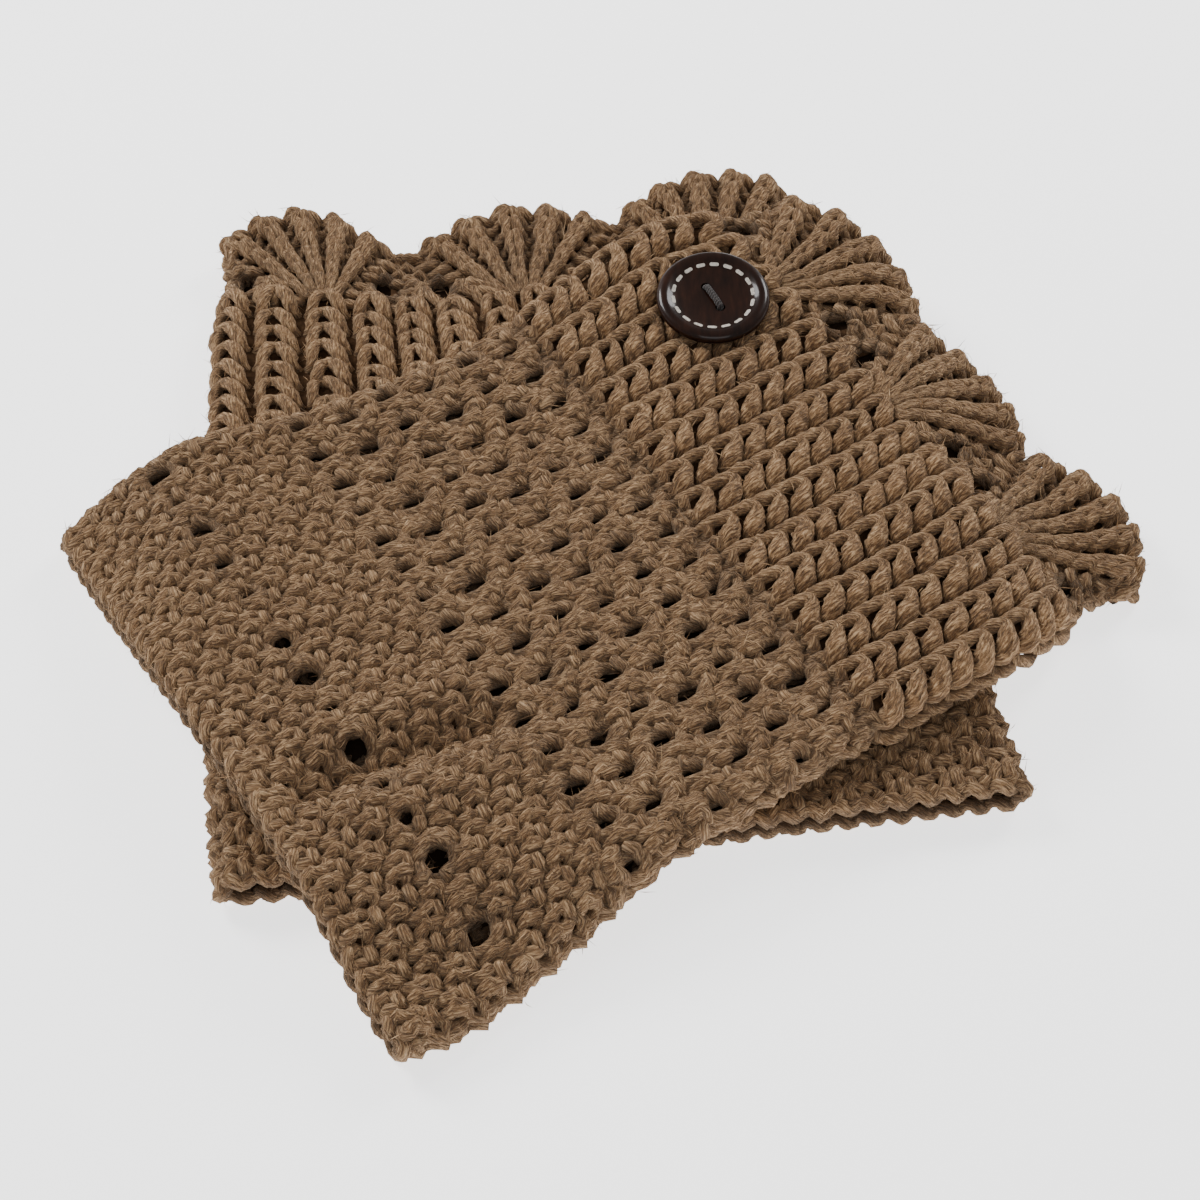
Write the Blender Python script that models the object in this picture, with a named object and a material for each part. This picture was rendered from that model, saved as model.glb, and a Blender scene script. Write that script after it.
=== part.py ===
"""A pair of short knitted leg warmers, laid flat and crossed, one on the other.

Each is a tube that was knitted from its plain hem up to a shell edging, and then pressed flat. It has a front
and a back layer that meet at two folds, and a wooden button sewn under one shell. Sizes are in metres, +Z is up,
and the pair lies on the plane z = 0 with its lowest shells away from -Y.
"""

import math
from collections import namedtuple

import bmesh
import bpy
from mathutils import Matrix, Vector
from mathutils.geometry import delaunay_2d_cdt, intersect_point_tri_2d

# The knit
WALL = 0.0038  # thickness of the cloth in its plain stretches
RIB_RISE = 0.0011  # how far a knit rib stands above the plain wall
GROOVE_SINK = 0.0006  # how far the purl groove beside it lies below
VALLEY_SINK = 0.0011  # the thin cloth between two shells lies lower still
BAND_RISE = 0.0002  # the seed stitch band is a little thicker than the mesh
EDGE_THIN = 0.45  # share of the wall that a rounded edge loses at its rim
EDGE_ROUND = 0.0016  # how far in from a rim the wall has its full thickness
PANEL_GAP = 0.0007  # between the two layers, in the middle of the cuff
FOLD_GAP = 0.0018  # between them beside a fold, where the bend holds them apart
CLEAR = 0.0003  # between solids that touch
REST_GAP = 0.0004  # between the upper cuff and what carries it

# The cuff, pressed flat
HALF_ARC = 0.071  # along a layer, from its middle to either fold
RIBS = 15  # knit ribs across one layer
BAND_TOP = 0.047
MESH_TOP = 0.109
RIB_TOP = 0.155
NECK_Y = 0.160  # the ribs of a shell spread from its neck at this height
SHELL_REACH = 0.0303  # from the neck to the tip of a groove in the shell
SHELL_BUMP = 0.0011  # a rib's tip reaches this much further
SHELL_FLARE = 0.0018  # and the outermost ribs reach this much further than the middle one
SHELL_RIBS = 5
RIB_SPREAD = math.radians(18)  # from one rib of a shell to the next
SHOULDER_SPREAD = math.radians(5.5)  # half the width of a shell's rib
GROOVE_SPREAD = RIB_SPREAD / 2
VALLEY_Y = 0.1795  # the edge between two shells
FOLD_EDGE_Y = 0.1745  # the edge where it crosses a fold
SHOULDER = 0.0023  # half the width of a rib in the ribbed stretch
Eyelet = namedtuple("Eyelet", "across along wide tall")
EYELET_SIDES = 8
VALLEY_EYELET_ASIDE = 0.0066  # from the middle of the valley to the eyelets below it
VALLEY_EYELET = Eyelet(0.0, 0.1650, 0.0050, 0.0043)
BAND_EYELET = Eyelet(0.0, 0.0215, 0.0044, 0.0041)
BAND_EYELETS = 13  # in the hem band's row, on each layer
BAND_EYELET_PITCH = 0.0101

Shell = namedtuple("Shell", "neck lean")
SHELLS = [  # neck: place across the layer, lean: how far its middle rib leans outwards
    Shell(-0.0452, math.radians(-5)),
    Shell(0.0000, math.radians(0)),
    Shell(0.0452, math.radians(5)),
]
VALLEYS = [-0.0236, 0.0236]  # places across the layer where neighbouring shells meet

# The outer outline of each cuff: how far its folds lie from its middle line, at places along it
Section = namedtuple("Section", "along left right")
LOWER_SECTIONS = [
    Section(0.000, 0.0785, 0.0775),
    Section(0.030, 0.0785, 0.0760),
    Section(0.060, 0.0762, 0.0730),
    Section(0.090, 0.0746, 0.0712),
    Section(0.120, 0.0740, 0.0700),
    Section(0.150, 0.0725, 0.0690),
    Section(0.165, 0.0700, 0.0670),
    Section(0.200, 0.0700, 0.0670),
]
UPPER_SECTIONS = [
    Section(0.0000, 0.0705, 0.0735),
    Section(0.0125, 0.0745, 0.0750),
    Section(0.0260, 0.0725, 0.0738),
    Section(0.0380, 0.0700, 0.0722),
    Section(0.0570, 0.0660, 0.0695),
    Section(0.0800, 0.0640, 0.0690),
    Section(0.1020, 0.0645, 0.0687),
    Section(0.1250, 0.0700, 0.0687),
    Section(0.1450, 0.0730, 0.0690),
    Section(0.1570, 0.0715, 0.0655),
    Section(0.1680, 0.0670, 0.0622),
    Section(0.1800, 0.0650, 0.0645),
    Section(0.2000, 0.0650, 0.0645),
]

# How far the edging of each cuff is pulled out of its plain shape, at places across it
Pull = namedtuple("Pull", "across along aside")
LOWER_PULLS = [
    Pull(-0.071, 0.0000, 0.0000),
    Pull(-0.047, -0.0020, -0.0018),
    Pull(-0.024, -0.0070, -0.0030),
    Pull(0.000, -0.0080, -0.0010),
    Pull(0.024, -0.0045, 0.0012),
    Pull(0.047, -0.0030, 0.0010),
    Pull(0.071, 0.0000, 0.0000),
]
UPPER_PULLS = [
    Pull(-0.071, 0.0010, 0.0000),
    Pull(-0.047, 0.0030, 0.0025),
    Pull(-0.024, 0.0025, 0.0034),
    Pull(0.000, 0.0010, 0.0025),
    Pull(0.024, 0.0010, 0.0015),
    Pull(0.047, 0.0005, 0.0012),
    Pull(0.071, -0.0010, 0.0000),
]

# How the pair lies: the middle of each hem, and the turn of the cuff about +Z
Place = namedtuple("Place", "x y turn")
LOWER_PLACE = Place(0.0065, -0.0744, 0.15)
UPPER_PLACE = Place(-0.0744, -0.0578, -0.99)
UNDER_END = 0.184  # the lower cuff's edging carries the upper one up to here
DROP_START = 0.0015  # past the lower cuff's outline, the upper one starts to sag here
DROP_LENGTH = 0.028  # and lies on the floor this much further out

# The buttons, turned from dark wood
BUTTON_RADIUS = 0.0125
BUTTON_THICK = 0.0034
BUTTON_SEGMENTS = 32
BUTTON_PROFILE = [  # radius and height, up the outside and in over the dished face
    (0.0000, 0.0000),
    (0.0098, 0.0000),
    (0.0118, 0.0007),
    (0.0125, 0.0019),
    (0.0121, 0.0029),
    (0.0111, 0.0034),
    (0.0099, 0.0032),
    (0.0089, 0.0027),
    (0.0060, 0.0022),
    (0.0000, 0.0021),
]
HOLE_RADIUS = 0.0011
HOLE_ASIDE = 0.0032  # from the button's middle to each hole
HOLE_SEGMENTS = 12
HOLE_TURN = math.radians(-62)  # the way the two holes point, about the button's axis
THREAD_RADIUS = 0.00065
THREAD_ARCH = 0.0011  # the thread's middle stands this far above the dished face
Button = namedtuple("Button", "across along tilt press")  # tilt is about X, press is into the ribs
LOWER_BUTTON = Button(0.0405, 0.1500, 0.0, 0.0018)
UPPER_BUTTON = Button(-0.0444, 0.1442, math.radians(9), 0.0010)
Ring = namedtuple("Ring", "radius points")  # of the wall's points round the dent under a button
DENT_RINGS = [Ring(0.0, 1), Ring(0.0070, 8), Ring(0.0138, 18), Ring(0.0178, 18)]
DENT_RADIUS = 0.0150
LIFT_LENGTH = 0.020  # the upper cuff comes down from the hidden button over this length

Cuff = namedtuple("Cuff", "name place sections pulls button below")
LOWER = Cuff("lower", LOWER_PLACE, LOWER_SECTIONS, LOWER_PULLS, LOWER_BUTTON, None)
UPPER = Cuff("upper", UPPER_PLACE, UPPER_SECTIONS, UPPER_PULLS, UPPER_BUTTON, LOWER)

YARN = (0.205, 0.130, 0.075, 1.0)
WOOD = (0.020, 0.010, 0.008, 1.0)
THREAD = (0.018, 0.013, 0.012, 1.0)


def smooth(share):
    """0 to 1 with a gentle start and end."""
    share = min(1.0, max(0.0, share))
    return share * share * (3 - 2 * share)


def through(table, place, column):
    """The value of a table's column at a place, on a smooth curve through its rows."""
    last = len(table) - 2
    i = next((k for k in range(last) if place < table[k + 1][0]), last)
    here, there = table[i], table[i + 1]
    before, after = table[max(i - 1, 0)], table[min(i + 2, last + 1)]
    step = there[0] - here[0]
    t = min(1.0, max(0.0, (place - here[0]) / step))
    start = (there[column] - before[column]) / (there[0] - before[0]) * step
    end = (after[column] - here[column]) / (after[0] - here[0]) * step
    return (
        here[column] * (2 * t**3 - 3 * t**2 + 1)
        + start * (t**3 - 2 * t**2 + t)
        + there[column] * (3 * t**2 - 2 * t**3)
        + end * (t**3 - t**2)
    )


def outline(cuff, along):
    """Distances from a cuff's middle line to its left and right folds."""
    return through(cuff.sections, along, 1), through(cuff.sections, along, 2)


def pulled(cuff, arc, along):
    """Where a place of the plain shape lies across and along the cuff, with its edging pulled."""
    share = smooth(along / NECK_Y)
    return arc + through(cuff.pulls, arc, 2) * share, along + through(cuff.pulls, arc, 1) * share


def half_gap(share):
    """Half the distance between the middles of the two walls, from the cuff's middle (0) to its fold (1)."""
    return (WALL + PANEL_GAP + (FOLD_GAP - PANEL_GAP) * share**4) / 2


FOLD_RADIUS = half_gap(1)


def across(cuff, arc, along):
    """For a place along the layer's arc: x and height of the wall's middle, and the way it faces there."""
    left, right = outline(cuff, along)
    reach = (left if arc < 0 else right) - WALL / 2
    straight = reach - FOLD_RADIUS
    run = abs(arc) / HALF_ARC * (straight + FOLD_RADIUS * math.pi / 2)
    way = math.copysign(1, arc)
    if run <= straight:
        return way * run, half_gap(run / straight), 0.0, 1.0
    turn = (run - straight) / FOLD_RADIUS
    lift = CLEAR / 2
    return (
        way * (straight + FOLD_RADIUS * math.sin(turn)),
        lift + (FOLD_RADIUS - lift) * math.cos(turn),
        way * math.sin(turn),
        math.cos(turn),
    )


def layer_height(cuff, x, along):
    """Height of the plane between the two layers, above the surface that the cuff lies on."""
    left, right = outline(cuff, along)
    straight = (left if x < 0 else right) - WALL / 2 - FOLD_RADIUS
    return WALL / 2 + half_gap(min(1.0, abs(x) / straight))


def nearest_shell(arc):
    return min(SHELLS, key=lambda shell: abs(arc - shell.neck))


def shell_angle(shell, arc, along):
    """Angle from the shell's middle rib, and distance from its neck."""
    dx, dy = arc - shell.neck, along - NECK_Y
    return math.atan2(dx, dy) - shell.lean, math.hypot(dx, dy)


def ridge(share):
    """Relief across one rib, from its middle (0) to the groove (1)."""
    return RIB_RISE - (RIB_RISE + GROOVE_SINK) * smooth((share - 0.35) / 0.65)


def relief(arc, along):
    """How far the outer face stands above the plain wall."""
    if along < BAND_TOP:
        return BAND_RISE
    if along < MESH_TOP - 0.001:
        return 0.0
    if along <= RIB_TOP + 0.001:
        pitch = 2 * HALF_ARC / RIBS
        place = (arc + HALF_ARC) / pitch % 1.0
        return ridge(abs(place - 0.5) * 2)
    shell = nearest_shell(arc)
    angle, far = shell_angle(shell, arc, along)
    rib = round(angle / RIB_SPREAD)
    if far < 0.004:
        return RIB_RISE
    if abs(rib) > SHELL_RIBS // 2 or along < NECK_Y:
        return -VALLEY_SINK if along > RIB_TOP + 0.004 else 0.0
    return ridge(abs(angle / RIB_SPREAD - rib) * 2)


def shell_point(shell, angle, reach):
    turned = angle + shell.lean
    return (shell.neck + reach * math.sin(turned), NECK_Y + reach * math.cos(turned))


def shell_angles():
    """The lines that a shell's ribs need: grooves and shoulders, from left to right."""
    found = []
    for rib in range(-(SHELL_RIBS // 2), SHELL_RIBS // 2 + 1):
        middle = rib * RIB_SPREAD
        found += [middle - SHOULDER_SPREAD, middle + SHOULDER_SPREAD, middle + GROOVE_SPREAD]
    return found[:-1]


def tip_reach(angle):
    """From a shell's neck to its edge, which bulges a little at each rib."""
    rib = abs(angle / RIB_SPREAD - round(angle / RIB_SPREAD)) * 2
    flare = SHELL_FLARE * (angle / (RIB_SPREAD * 2)) ** 2
    return SHELL_REACH + SHELL_BUMP * (1 - smooth(rib)) + flare


def fold_lines():
    """Places across a layer, beside each fold, that make its bend round."""
    bend = FOLD_RADIUS * math.pi / 2
    return [HALF_ARC - bend * share for share in (1.0, 0.66, 0.33)]


def edge_loop():
    """The layer's rim in the flat: hem, right fold, shells from right to left, left fold."""
    hem = [-HALF_ARC + 2 * HALF_ARC * k / RIBS for k in range(1, RIBS)]
    folds = fold_lines()
    hem = [a for a in hem if abs(a) < folds[0] - 0.003]
    loop = [(a, 0.0) for a in [-HALF_ARC, *[-f for f in reversed(folds)], *hem, *folds, HALF_ARC]]
    rows = fold_rows()
    loop += [(HALF_ARC, y) for y in rows]
    for k in reversed(range(len(SHELLS))):
        shell = SHELLS[k]
        loop += [shell_point(shell, a, tip_reach(a)) for a in reversed(shell_angles())]
        if k:
            loop.append((VALLEYS[k - 1], VALLEY_Y))
    loop += [(-HALF_ARC, y) for y in reversed(rows)]
    return loop


def fold_rows():
    """Heights of the rim's points up a fold."""
    return [EDGE_ROUND, 0.012, 0.024, 0.035, BAND_TOP, 0.060, 0.072, 0.084, 0.096, MESH_TOP] + [
        0.1220, 0.135, 0.146, RIB_TOP, 0.1645, FOLD_EDGE_Y
    ]


def eyelets():
    """Each open eyelet of a layer: one row in the hem band, and two under each place where shells meet."""
    half = BAND_EYELETS // 2
    row = [BAND_EYELET._replace(across=k * BAND_EYELET_PITCH) for k in range(-half, half + 1)]
    middles = [-HALF_ARC, *VALLEYS, HALF_ARC]
    pairs = [(m - VALLEY_EYELET_ASIDE, m + VALLEY_EYELET_ASIDE) for m in middles]
    return row + [VALLEY_EYELET._replace(across=a) for pair in pairs for a in pair if abs(a) < HALF_ARC]


def ellipse(eyelet):
    turns = [2 * math.pi * (k + 0.5) / EYELET_SIDES for k in range(EYELET_SIDES)]
    return [
        (
            eyelet.across + eyelet.wide / 2 * math.cos(t),
            eyelet.along + eyelet.tall / 2 * math.sin(t),
        )
        for t in turns
    ]


def dent_points(button):
    """Points round the place of a button, so that the dent under it has a clean edge."""
    found = []
    for ring in DENT_RINGS:
        for k in range(ring.points):
            turn = 2 * math.pi * k / ring.points
            found.append(
                (
                    button.across + ring.radius * math.cos(turn),
                    button.along + ring.radius * math.sin(turn),
                )
            )
    return found


def inside(point, loop):
    """Whether a point lies within a closed outline, by counting the sides that it sees to its right."""
    hits = 0
    for (ax, ay), (bx, by) in zip(loop, loop[1:] + loop[:1]):
        if (ay > point[1]) != (by > point[1]):
            hits += point[0] < ax + (point[1] - ay) / (by - ay) * (bx - ax)
    return hits % 2 == 1


def clear_of(point, others, least):
    return all(math.hypot(point[0] - x, point[1] - y) > least for x, y in others)


def ribbed_points():
    """Inner points of a layer whose outer face shows its ribs, each on a groove or a shoulder."""
    pitch = 2 * HALF_ARC / RIBS
    folds = fold_lines()
    sides = [way * f for f in folds for way in (-1, 1)]
    plain = [a for a in (-HALF_ARC + pitch * k for k in range(1, RIBS)) if abs(a) < folds[0] - 0.003]
    ribbed = []
    for k in range(RIBS):
        middle = -HALF_ARC + pitch * (k + 0.5)
        ribbed += [middle - SHOULDER, middle + SHOULDER, middle + pitch / 2]
    ribbed = [a for a in ribbed if abs(a) < folds[0] - 0.002]
    points = []
    for y in fold_rows()[:9]:
        points += [(a, y) for a in plain + sides]
    for y in (MESH_TOP - 0.0045, MESH_TOP, 0.122, 0.135, 0.146, RIB_TOP):
        points += [(a, y) for a in ribbed + sides]
    for shell in SHELLS:
        for angle in shell_angles():
            tip = tip_reach(angle) - EDGE_ROUND
            points += [shell_point(shell, angle, far) for far in (0.0075, 0.0135, 0.0205, tip)]
        points.append((shell.neck, NECK_Y + 0.001))
    for middle in VALLEYS:
        points += [(middle, y) for y in (0.1610, 0.1680, 0.1725)]
    points += [(a, y) for a in sides for y in (0.1635, 0.1695)]
    return points


def plain_points(step):
    """Inner points of a smooth face, on a grid of about this step."""
    folds = fold_lines()
    sides = [way * f for f in folds for way in (-1, 1)]
    count = max(2, round(2 * folds[0] / step))
    columns = [-folds[0] + 2 * folds[0] * k / count for k in range(1, count)] + sides
    rows = max(2, round((RIB_TOP - EDGE_ROUND) / step))
    points = [(a, EDGE_ROUND + (RIB_TOP - EDGE_ROUND) * k / rows) for a in columns for k in range(rows + 1)]
    extra = max(2, round((VALLEY_Y - RIB_TOP) / step))
    rise = (VALLEY_Y - RIB_TOP) / extra
    points += [(a, RIB_TOP + rise * k) for a in columns for k in range(1, extra + 3)]
    for shell in SHELLS:
        for rib in range(-(SHELL_RIBS // 2), SHELL_RIBS // 2 + 1):
            angle = rib * RIB_SPREAD
            points.append(shell_point(shell, angle, tip_reach(angle) - 1.6 * EDGE_ROUND))
    return points


def face_of(rim, holes, points):
    """The rim's, holes' and inner points, and the triangles between them."""
    border = rim + [p for hole in holes for p in hole]
    room = EDGE_ROUND * 0.7
    kept = []
    for p in points:
        if inside(p, rim) and clear_of(p, border, room) and clear_of(p, kept, room):
            if not any(inside(p, hole) for hole in holes):
                kept.append(p)
    every = border + kept
    edges = [(k, (k + 1) % len(rim)) for k in range(len(rim))]
    start = len(rim)
    for hole in holes:
        edges += [(start + k, start + (k + 1) % len(hole)) for k in range(len(hole))]
        start += len(hole)
    flat = [Vector(p) for p in every]
    found, _, faces, origin, _, _ = delaunay_2d_cdt(flat, edges, [], 1, 1e-7)
    first = [min(o) for o in origin]
    triangles = []
    for face in faces:
        a, b, c = (first[k] for k in face)
        centre = (flat[a] + flat[b] + flat[c]) / 3
        if inside(centre, rim) and not any(inside(centre, hole) for hole in holes):
            triangles.append((a, b, c))
    return every, triangles, len(border)


def in_cuff(cuff, x, y):
    """A point of the pair's frame, in a cuff's own: across it and along it."""
    turned = Matrix.Rotation(-cuff.place.turn, 2) @ Vector((x - cuff.place.x, y - cuff.place.y))
    return turned.x, turned.y


def in_pair(cuff, x, y):
    turned = Matrix.Rotation(cuff.place.turn, 2) @ Vector((x, y))
    return turned.x + cuff.place.x, turned.y + cuff.place.y


def thickness(cuff, x, along):
    """A cuff's thickness, with its ribs."""
    ribs = smooth((along - MESH_TOP + 0.012) / 0.010)
    return 2 * layer_height(cuff, x, along) + BAND_RISE + (RIB_RISE - BAND_RISE) * ribs


def support(cuff, x, y):
    """Height of what a cuff lies on, at a place in the pair's frame: the floor, or the cuff below it."""
    below = cuff.below
    if below is None:
        return 0.0
    lx, ly = in_cuff(below, x, y)
    along = min(UNDER_END, max(0.0, ly))
    left, right = outline(below, along)
    past = math.hypot(max(-left - lx, lx - right, 0.0), ly - along)
    top = thickness(below, lx, along) + REST_GAP
    button = button_seat(below)
    lift = button.z + BUTTON_THICK + REST_GAP - top
    far = math.hypot(x - button.x, y - button.y) - BUTTON_RADIUS - REST_GAP
    return top * (1 - smooth((past - DROP_START) / DROP_LENGTH)) + lift * (1 - smooth(far / LIFT_LENGTH))


def button_seat(cuff):
    """The middle of a button's underside."""
    arc, along = pulled(cuff, cuff.button.across, cuff.button.along)
    aside = across(cuff, arc, along)[0]
    x, y = in_pair(cuff, aside, along)
    top = support(cuff, x, y) + thickness(cuff, aside, along)
    return Vector((x, y, top - cuff.button.press))


def pressed(cuff, point):
    """A point of the outer face, moved down where a button presses on it."""
    seat = button_seat(cuff)
    if math.hypot(point.x - seat.x, point.y - seat.y) < DENT_RADIUS:
        underside = seat.z + (point.y - seat.y) * math.tan(cuff.button.tilt)
        point.z = min(point.z, underside - CLEAR)
    return point


def wall_point(cuff, side, arc, along, offset):
    """A point of the wall. Side is 1 for the front layer and -1 for the back one; offset runs outwards."""
    arc, along = pulled(cuff, arc, along)
    x, high, face_x, face_z = across(cuff, arc, along)
    wx, wy = in_pair(cuff, x + face_x * offset, along)
    middle = support(cuff, wx, wy) + layer_height(cuff, x, along)
    return Vector((wx, wy, middle + side * (high + face_z * offset)))


def on_fold(arc, along):
    return abs(abs(arc) - HALF_ARC) < 1e-6 and along > 0


def knit_layer(cuff, name, side, ribbed, step, inner_step):
    """One layer of a cuff: an outer face, an inner face, and the rims between them."""
    rim = edge_loop()
    holes = [ellipse(eyelet) for eyelet in eyelets()]
    points = dent_points(cuff.button) + ribbed_points() if ribbed else plain_points(step)
    outer, outer_faces, border = face_of(rim, holes, points)
    inner, inner_faces, _ = face_of(rim, holes, plain_points(inner_step))
    mesh = bmesh.new()
    out, within = [], []
    for k, (arc, along) in enumerate(outer):
        thick = WALL / 2
        if k < border:
            thick *= 1.0 if on_fold(arc, along) else 1 - EDGE_THIN
        elif ribbed:
            thick += relief(arc, along)
        point = wall_point(cuff, side, arc, along, thick)
        out.append(mesh.verts.new(pressed(cuff, point) if ribbed else point))
    for k, (arc, along) in enumerate(inner):
        thick = WALL / 2
        if k < border:
            thick *= 1.0 if on_fold(arc, along) else 1 - EDGE_THIN
        within.append(mesh.verts.new(wall_point(cuff, side, arc, along, -thick)))
    for a, b, c in outer_faces:
        mesh.faces.new((out[a], out[b], out[c]))
    for a, b, c in inner_faces:
        mesh.faces.new((within[c], within[b], within[a]))
    sides = {(a, b) for face in outer_faces for a, b in zip(face, face[1:] + face[:1])}
    for a, b in sorted(sides):
        if (b, a) not in sides:
            mesh.faces.new((out[b], out[a], within[a]))
            mesh.faces.new((out[b], within[a], within[b]))
    bmesh.ops.recalc_face_normals(mesh, faces=mesh.faces)
    return add_object(name, mesh, material("knit", YARN, 0.95), smooth_angle=40)


def material(name, colour, roughness):
    made = bpy.data.materials.get(name)
    if made is None:
        made = bpy.data.materials.new(name)
        made.use_nodes = True
        shader = made.node_tree.nodes["Principled BSDF"]
        shader.inputs["Base Color"].default_value = colour
        shader.inputs["Roughness"].default_value = roughness
        shader.inputs["Metallic"].default_value = 0.0
    return made


def add_object(name, mesh, finish, smooth_angle=35):
    data = bpy.data.meshes.new(name)
    mesh.to_mesh(data)
    mesh.free()
    data.shade_smooth()
    data.set_sharp_from_angle(angle=math.radians(smooth_angle))
    data.materials.append(finish)
    made = bpy.data.objects.new(name, data)
    bpy.context.scene.collection.objects.link(made)
    return made


def turned_button(name, seat, tilt):
    """A round button with a rounded rim, a dished face and two holes."""
    mesh = bmesh.new()
    profile = [mesh.verts.new((r, 0, z)) for r, z in BUTTON_PROFILE]
    edges = [mesh.edges.new(pair) for pair in zip(profile, profile[1:])]
    bmesh.ops.spin(
        mesh,
        geom=profile + edges,
        cent=(0, 0, 0),
        axis=(0, 0, 1),
        angle=2 * math.pi,
        steps=BUTTON_SEGMENTS,
        use_merge=True,
    )
    bmesh.ops.remove_doubles(mesh, verts=mesh.verts, dist=1e-6)
    bmesh.ops.recalc_face_normals(mesh, faces=mesh.faces)
    made = add_object(name, mesh, material("wood", WOOD, 0.3))
    for k, way in enumerate((-1, 1)):
        bit = bmesh.new()
        centre = Vector((math.cos(HOLE_TURN), math.sin(HOLE_TURN), 0)) * HOLE_ASIDE * way
        bmesh.ops.create_cone(
            bit,
            cap_ends=True,
            segments=HOLE_SEGMENTS,
            radius1=HOLE_RADIUS,
            radius2=HOLE_RADIUS,
            depth=4 * BUTTON_THICK,
            matrix=Matrix.Translation(centre),
        )
        cutter = add_object(f"{name}_hole_{k}", bit, material("wood", WOOD, 0.3))
        cutter.hide_render = True
        cutter.display_type = "WIRE"
        cutter.parent = made
        cut = made.modifiers.new(f"hole_{k}", "BOOLEAN")
        cut.operation = "DIFFERENCE"
        cut.object = cutter
    made.location = seat
    made.rotation_euler = (tilt, 0, 0)
    return made


def sewing_thread(name, button):
    """The doubled thread that goes up one hole, over the face and down the other."""
    face = BUTTON_PROFILE[-1][1]
    way = Vector((math.cos(HOLE_TURN), math.sin(HOLE_TURN), 0))
    top = face + THREAD_ARCH
    route = [
        (-1.00, 0.0),
        (-1.00, face * 0.55),
        (-0.97, face + 0.0002),
        (-0.78, top - 0.00025),
        (-0.40, top),
        (0.40, top),
        (0.78, top - 0.00025),
        (0.97, face + 0.0002),
        (1.00, face * 0.55),
        (1.00, 0.0),
    ]
    curve = bpy.data.curves.new(name, "CURVE")
    curve.dimensions = "3D"
    curve.bevel_depth = THREAD_RADIUS
    curve.bevel_resolution = 2
    curve.use_fill_caps = True
    line = curve.splines.new("POLY")
    line.points.add(len(route) - 1)
    for point, (share, high) in zip(line.points, route):
        point.co = (*(way * HOLE_ASIDE * share).xy, high, 1)
    curve.materials.append(material("thread", THREAD, 0.8))
    made = bpy.data.objects.new(name, curve)
    bpy.context.scene.collection.objects.link(made)
    made.parent = button
    return made


def main():
    for old in list(bpy.data.objects):
        bpy.data.objects.remove(old)
    knit_layer(LOWER, "lower_back", -1, False, 0.012, 0.012)
    knit_layer(LOWER, "lower_front", 1, True, 0.012, 0.012)
    knit_layer(UPPER, "upper_back", -1, False, 0.0065, 0.0075)
    knit_layer(UPPER, "upper_front", 1, True, 0.0075, 0.0075)
    for cuff in (LOWER, UPPER):
        button = turned_button(f"{cuff.name}_button", button_seat(cuff), cuff.button.tilt)
        sewing_thread(f"{cuff.name}_button_thread", button)


main()
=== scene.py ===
"""The looks of a pair of short knitted leg warmers, laid flat and crossed, with a wooden button on each.

The knit is made of its yarn: every round of stitches is one closed strand that runs through the front layer
and the back layer of a cuff. Sizes of the knit are in millimetres, and points are turned into metres when a
mesh is made. Places on a cuff are given round it, from the left fold over the front layer and back behind,
and along it, from the hem to the shells.
"""

import math
from collections import namedtuple

import bmesh
import bpy
import numpy as np
from mathutils import Matrix, Vector


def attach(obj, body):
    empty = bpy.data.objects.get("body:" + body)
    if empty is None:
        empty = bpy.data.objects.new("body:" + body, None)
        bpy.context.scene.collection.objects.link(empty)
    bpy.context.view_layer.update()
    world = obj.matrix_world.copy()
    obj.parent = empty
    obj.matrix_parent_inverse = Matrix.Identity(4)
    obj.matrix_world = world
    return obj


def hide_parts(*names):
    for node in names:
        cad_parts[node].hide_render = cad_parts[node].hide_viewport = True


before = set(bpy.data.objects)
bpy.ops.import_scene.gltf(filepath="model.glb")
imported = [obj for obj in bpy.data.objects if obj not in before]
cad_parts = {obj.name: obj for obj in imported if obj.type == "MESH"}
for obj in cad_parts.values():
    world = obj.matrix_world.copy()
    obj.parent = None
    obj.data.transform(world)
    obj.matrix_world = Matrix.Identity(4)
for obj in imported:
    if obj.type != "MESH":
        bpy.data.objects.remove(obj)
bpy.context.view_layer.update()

MM = 0.001

# The cuff, pressed flat
WALL = 3.8
GAP_MIDDLE = 0.7  # between the two layers, halfway across and at the folds
GAP_FOLD = 1.8
REST_GAP = 0.4  # between the lower cuff and the upper one
CLEAR = 0.3  # between the yarn and a button's underside
LAYER = 142.0  # round the cuff, from one fold to the other
ROUND = 2 * LAYER
HALF = LAYER / 2
MESH_TOP = 109.0
NECK_ALONG = 160.0  # where the shells start
BAND_RISE = 0.2  # how far the knit stands above the wall, in the hem band and in the ribs
RIB_RISE = 1.1
FOLD_RADIUS = (WALL + GAP_FOLD) / 2

# Along a cuff, and how far its left and right folds lie from its middle line
LOWER_SECTIONS = [
    (0.0, 78.5, 77.5),
    (30.0, 78.5, 76.0),
    (60.0, 76.2, 73.0),
    (90.0, 74.6, 71.2),
    (120.0, 74.0, 70.0),
    (150.0, 72.5, 69.0),
    (165.0, 70.0, 67.0),
    (200.0, 70.0, 67.0),
]
UPPER_SECTIONS = [
    (0.0, 70.5, 73.5),
    (12.5, 74.5, 75.0),
    (26.0, 72.5, 73.8),
    (38.0, 70.0, 72.2),
    (57.0, 66.0, 69.5),
    (80.0, 64.0, 69.0),
    (102.0, 64.5, 68.7),
    (125.0, 70.0, 68.7),
    (145.0, 73.0, 69.0),
    (157.0, 71.5, 65.5),
    (168.0, 67.0, 62.2),
    (180.0, 65.0, 64.5),
    (200.0, 65.0, 64.5),
]
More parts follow.
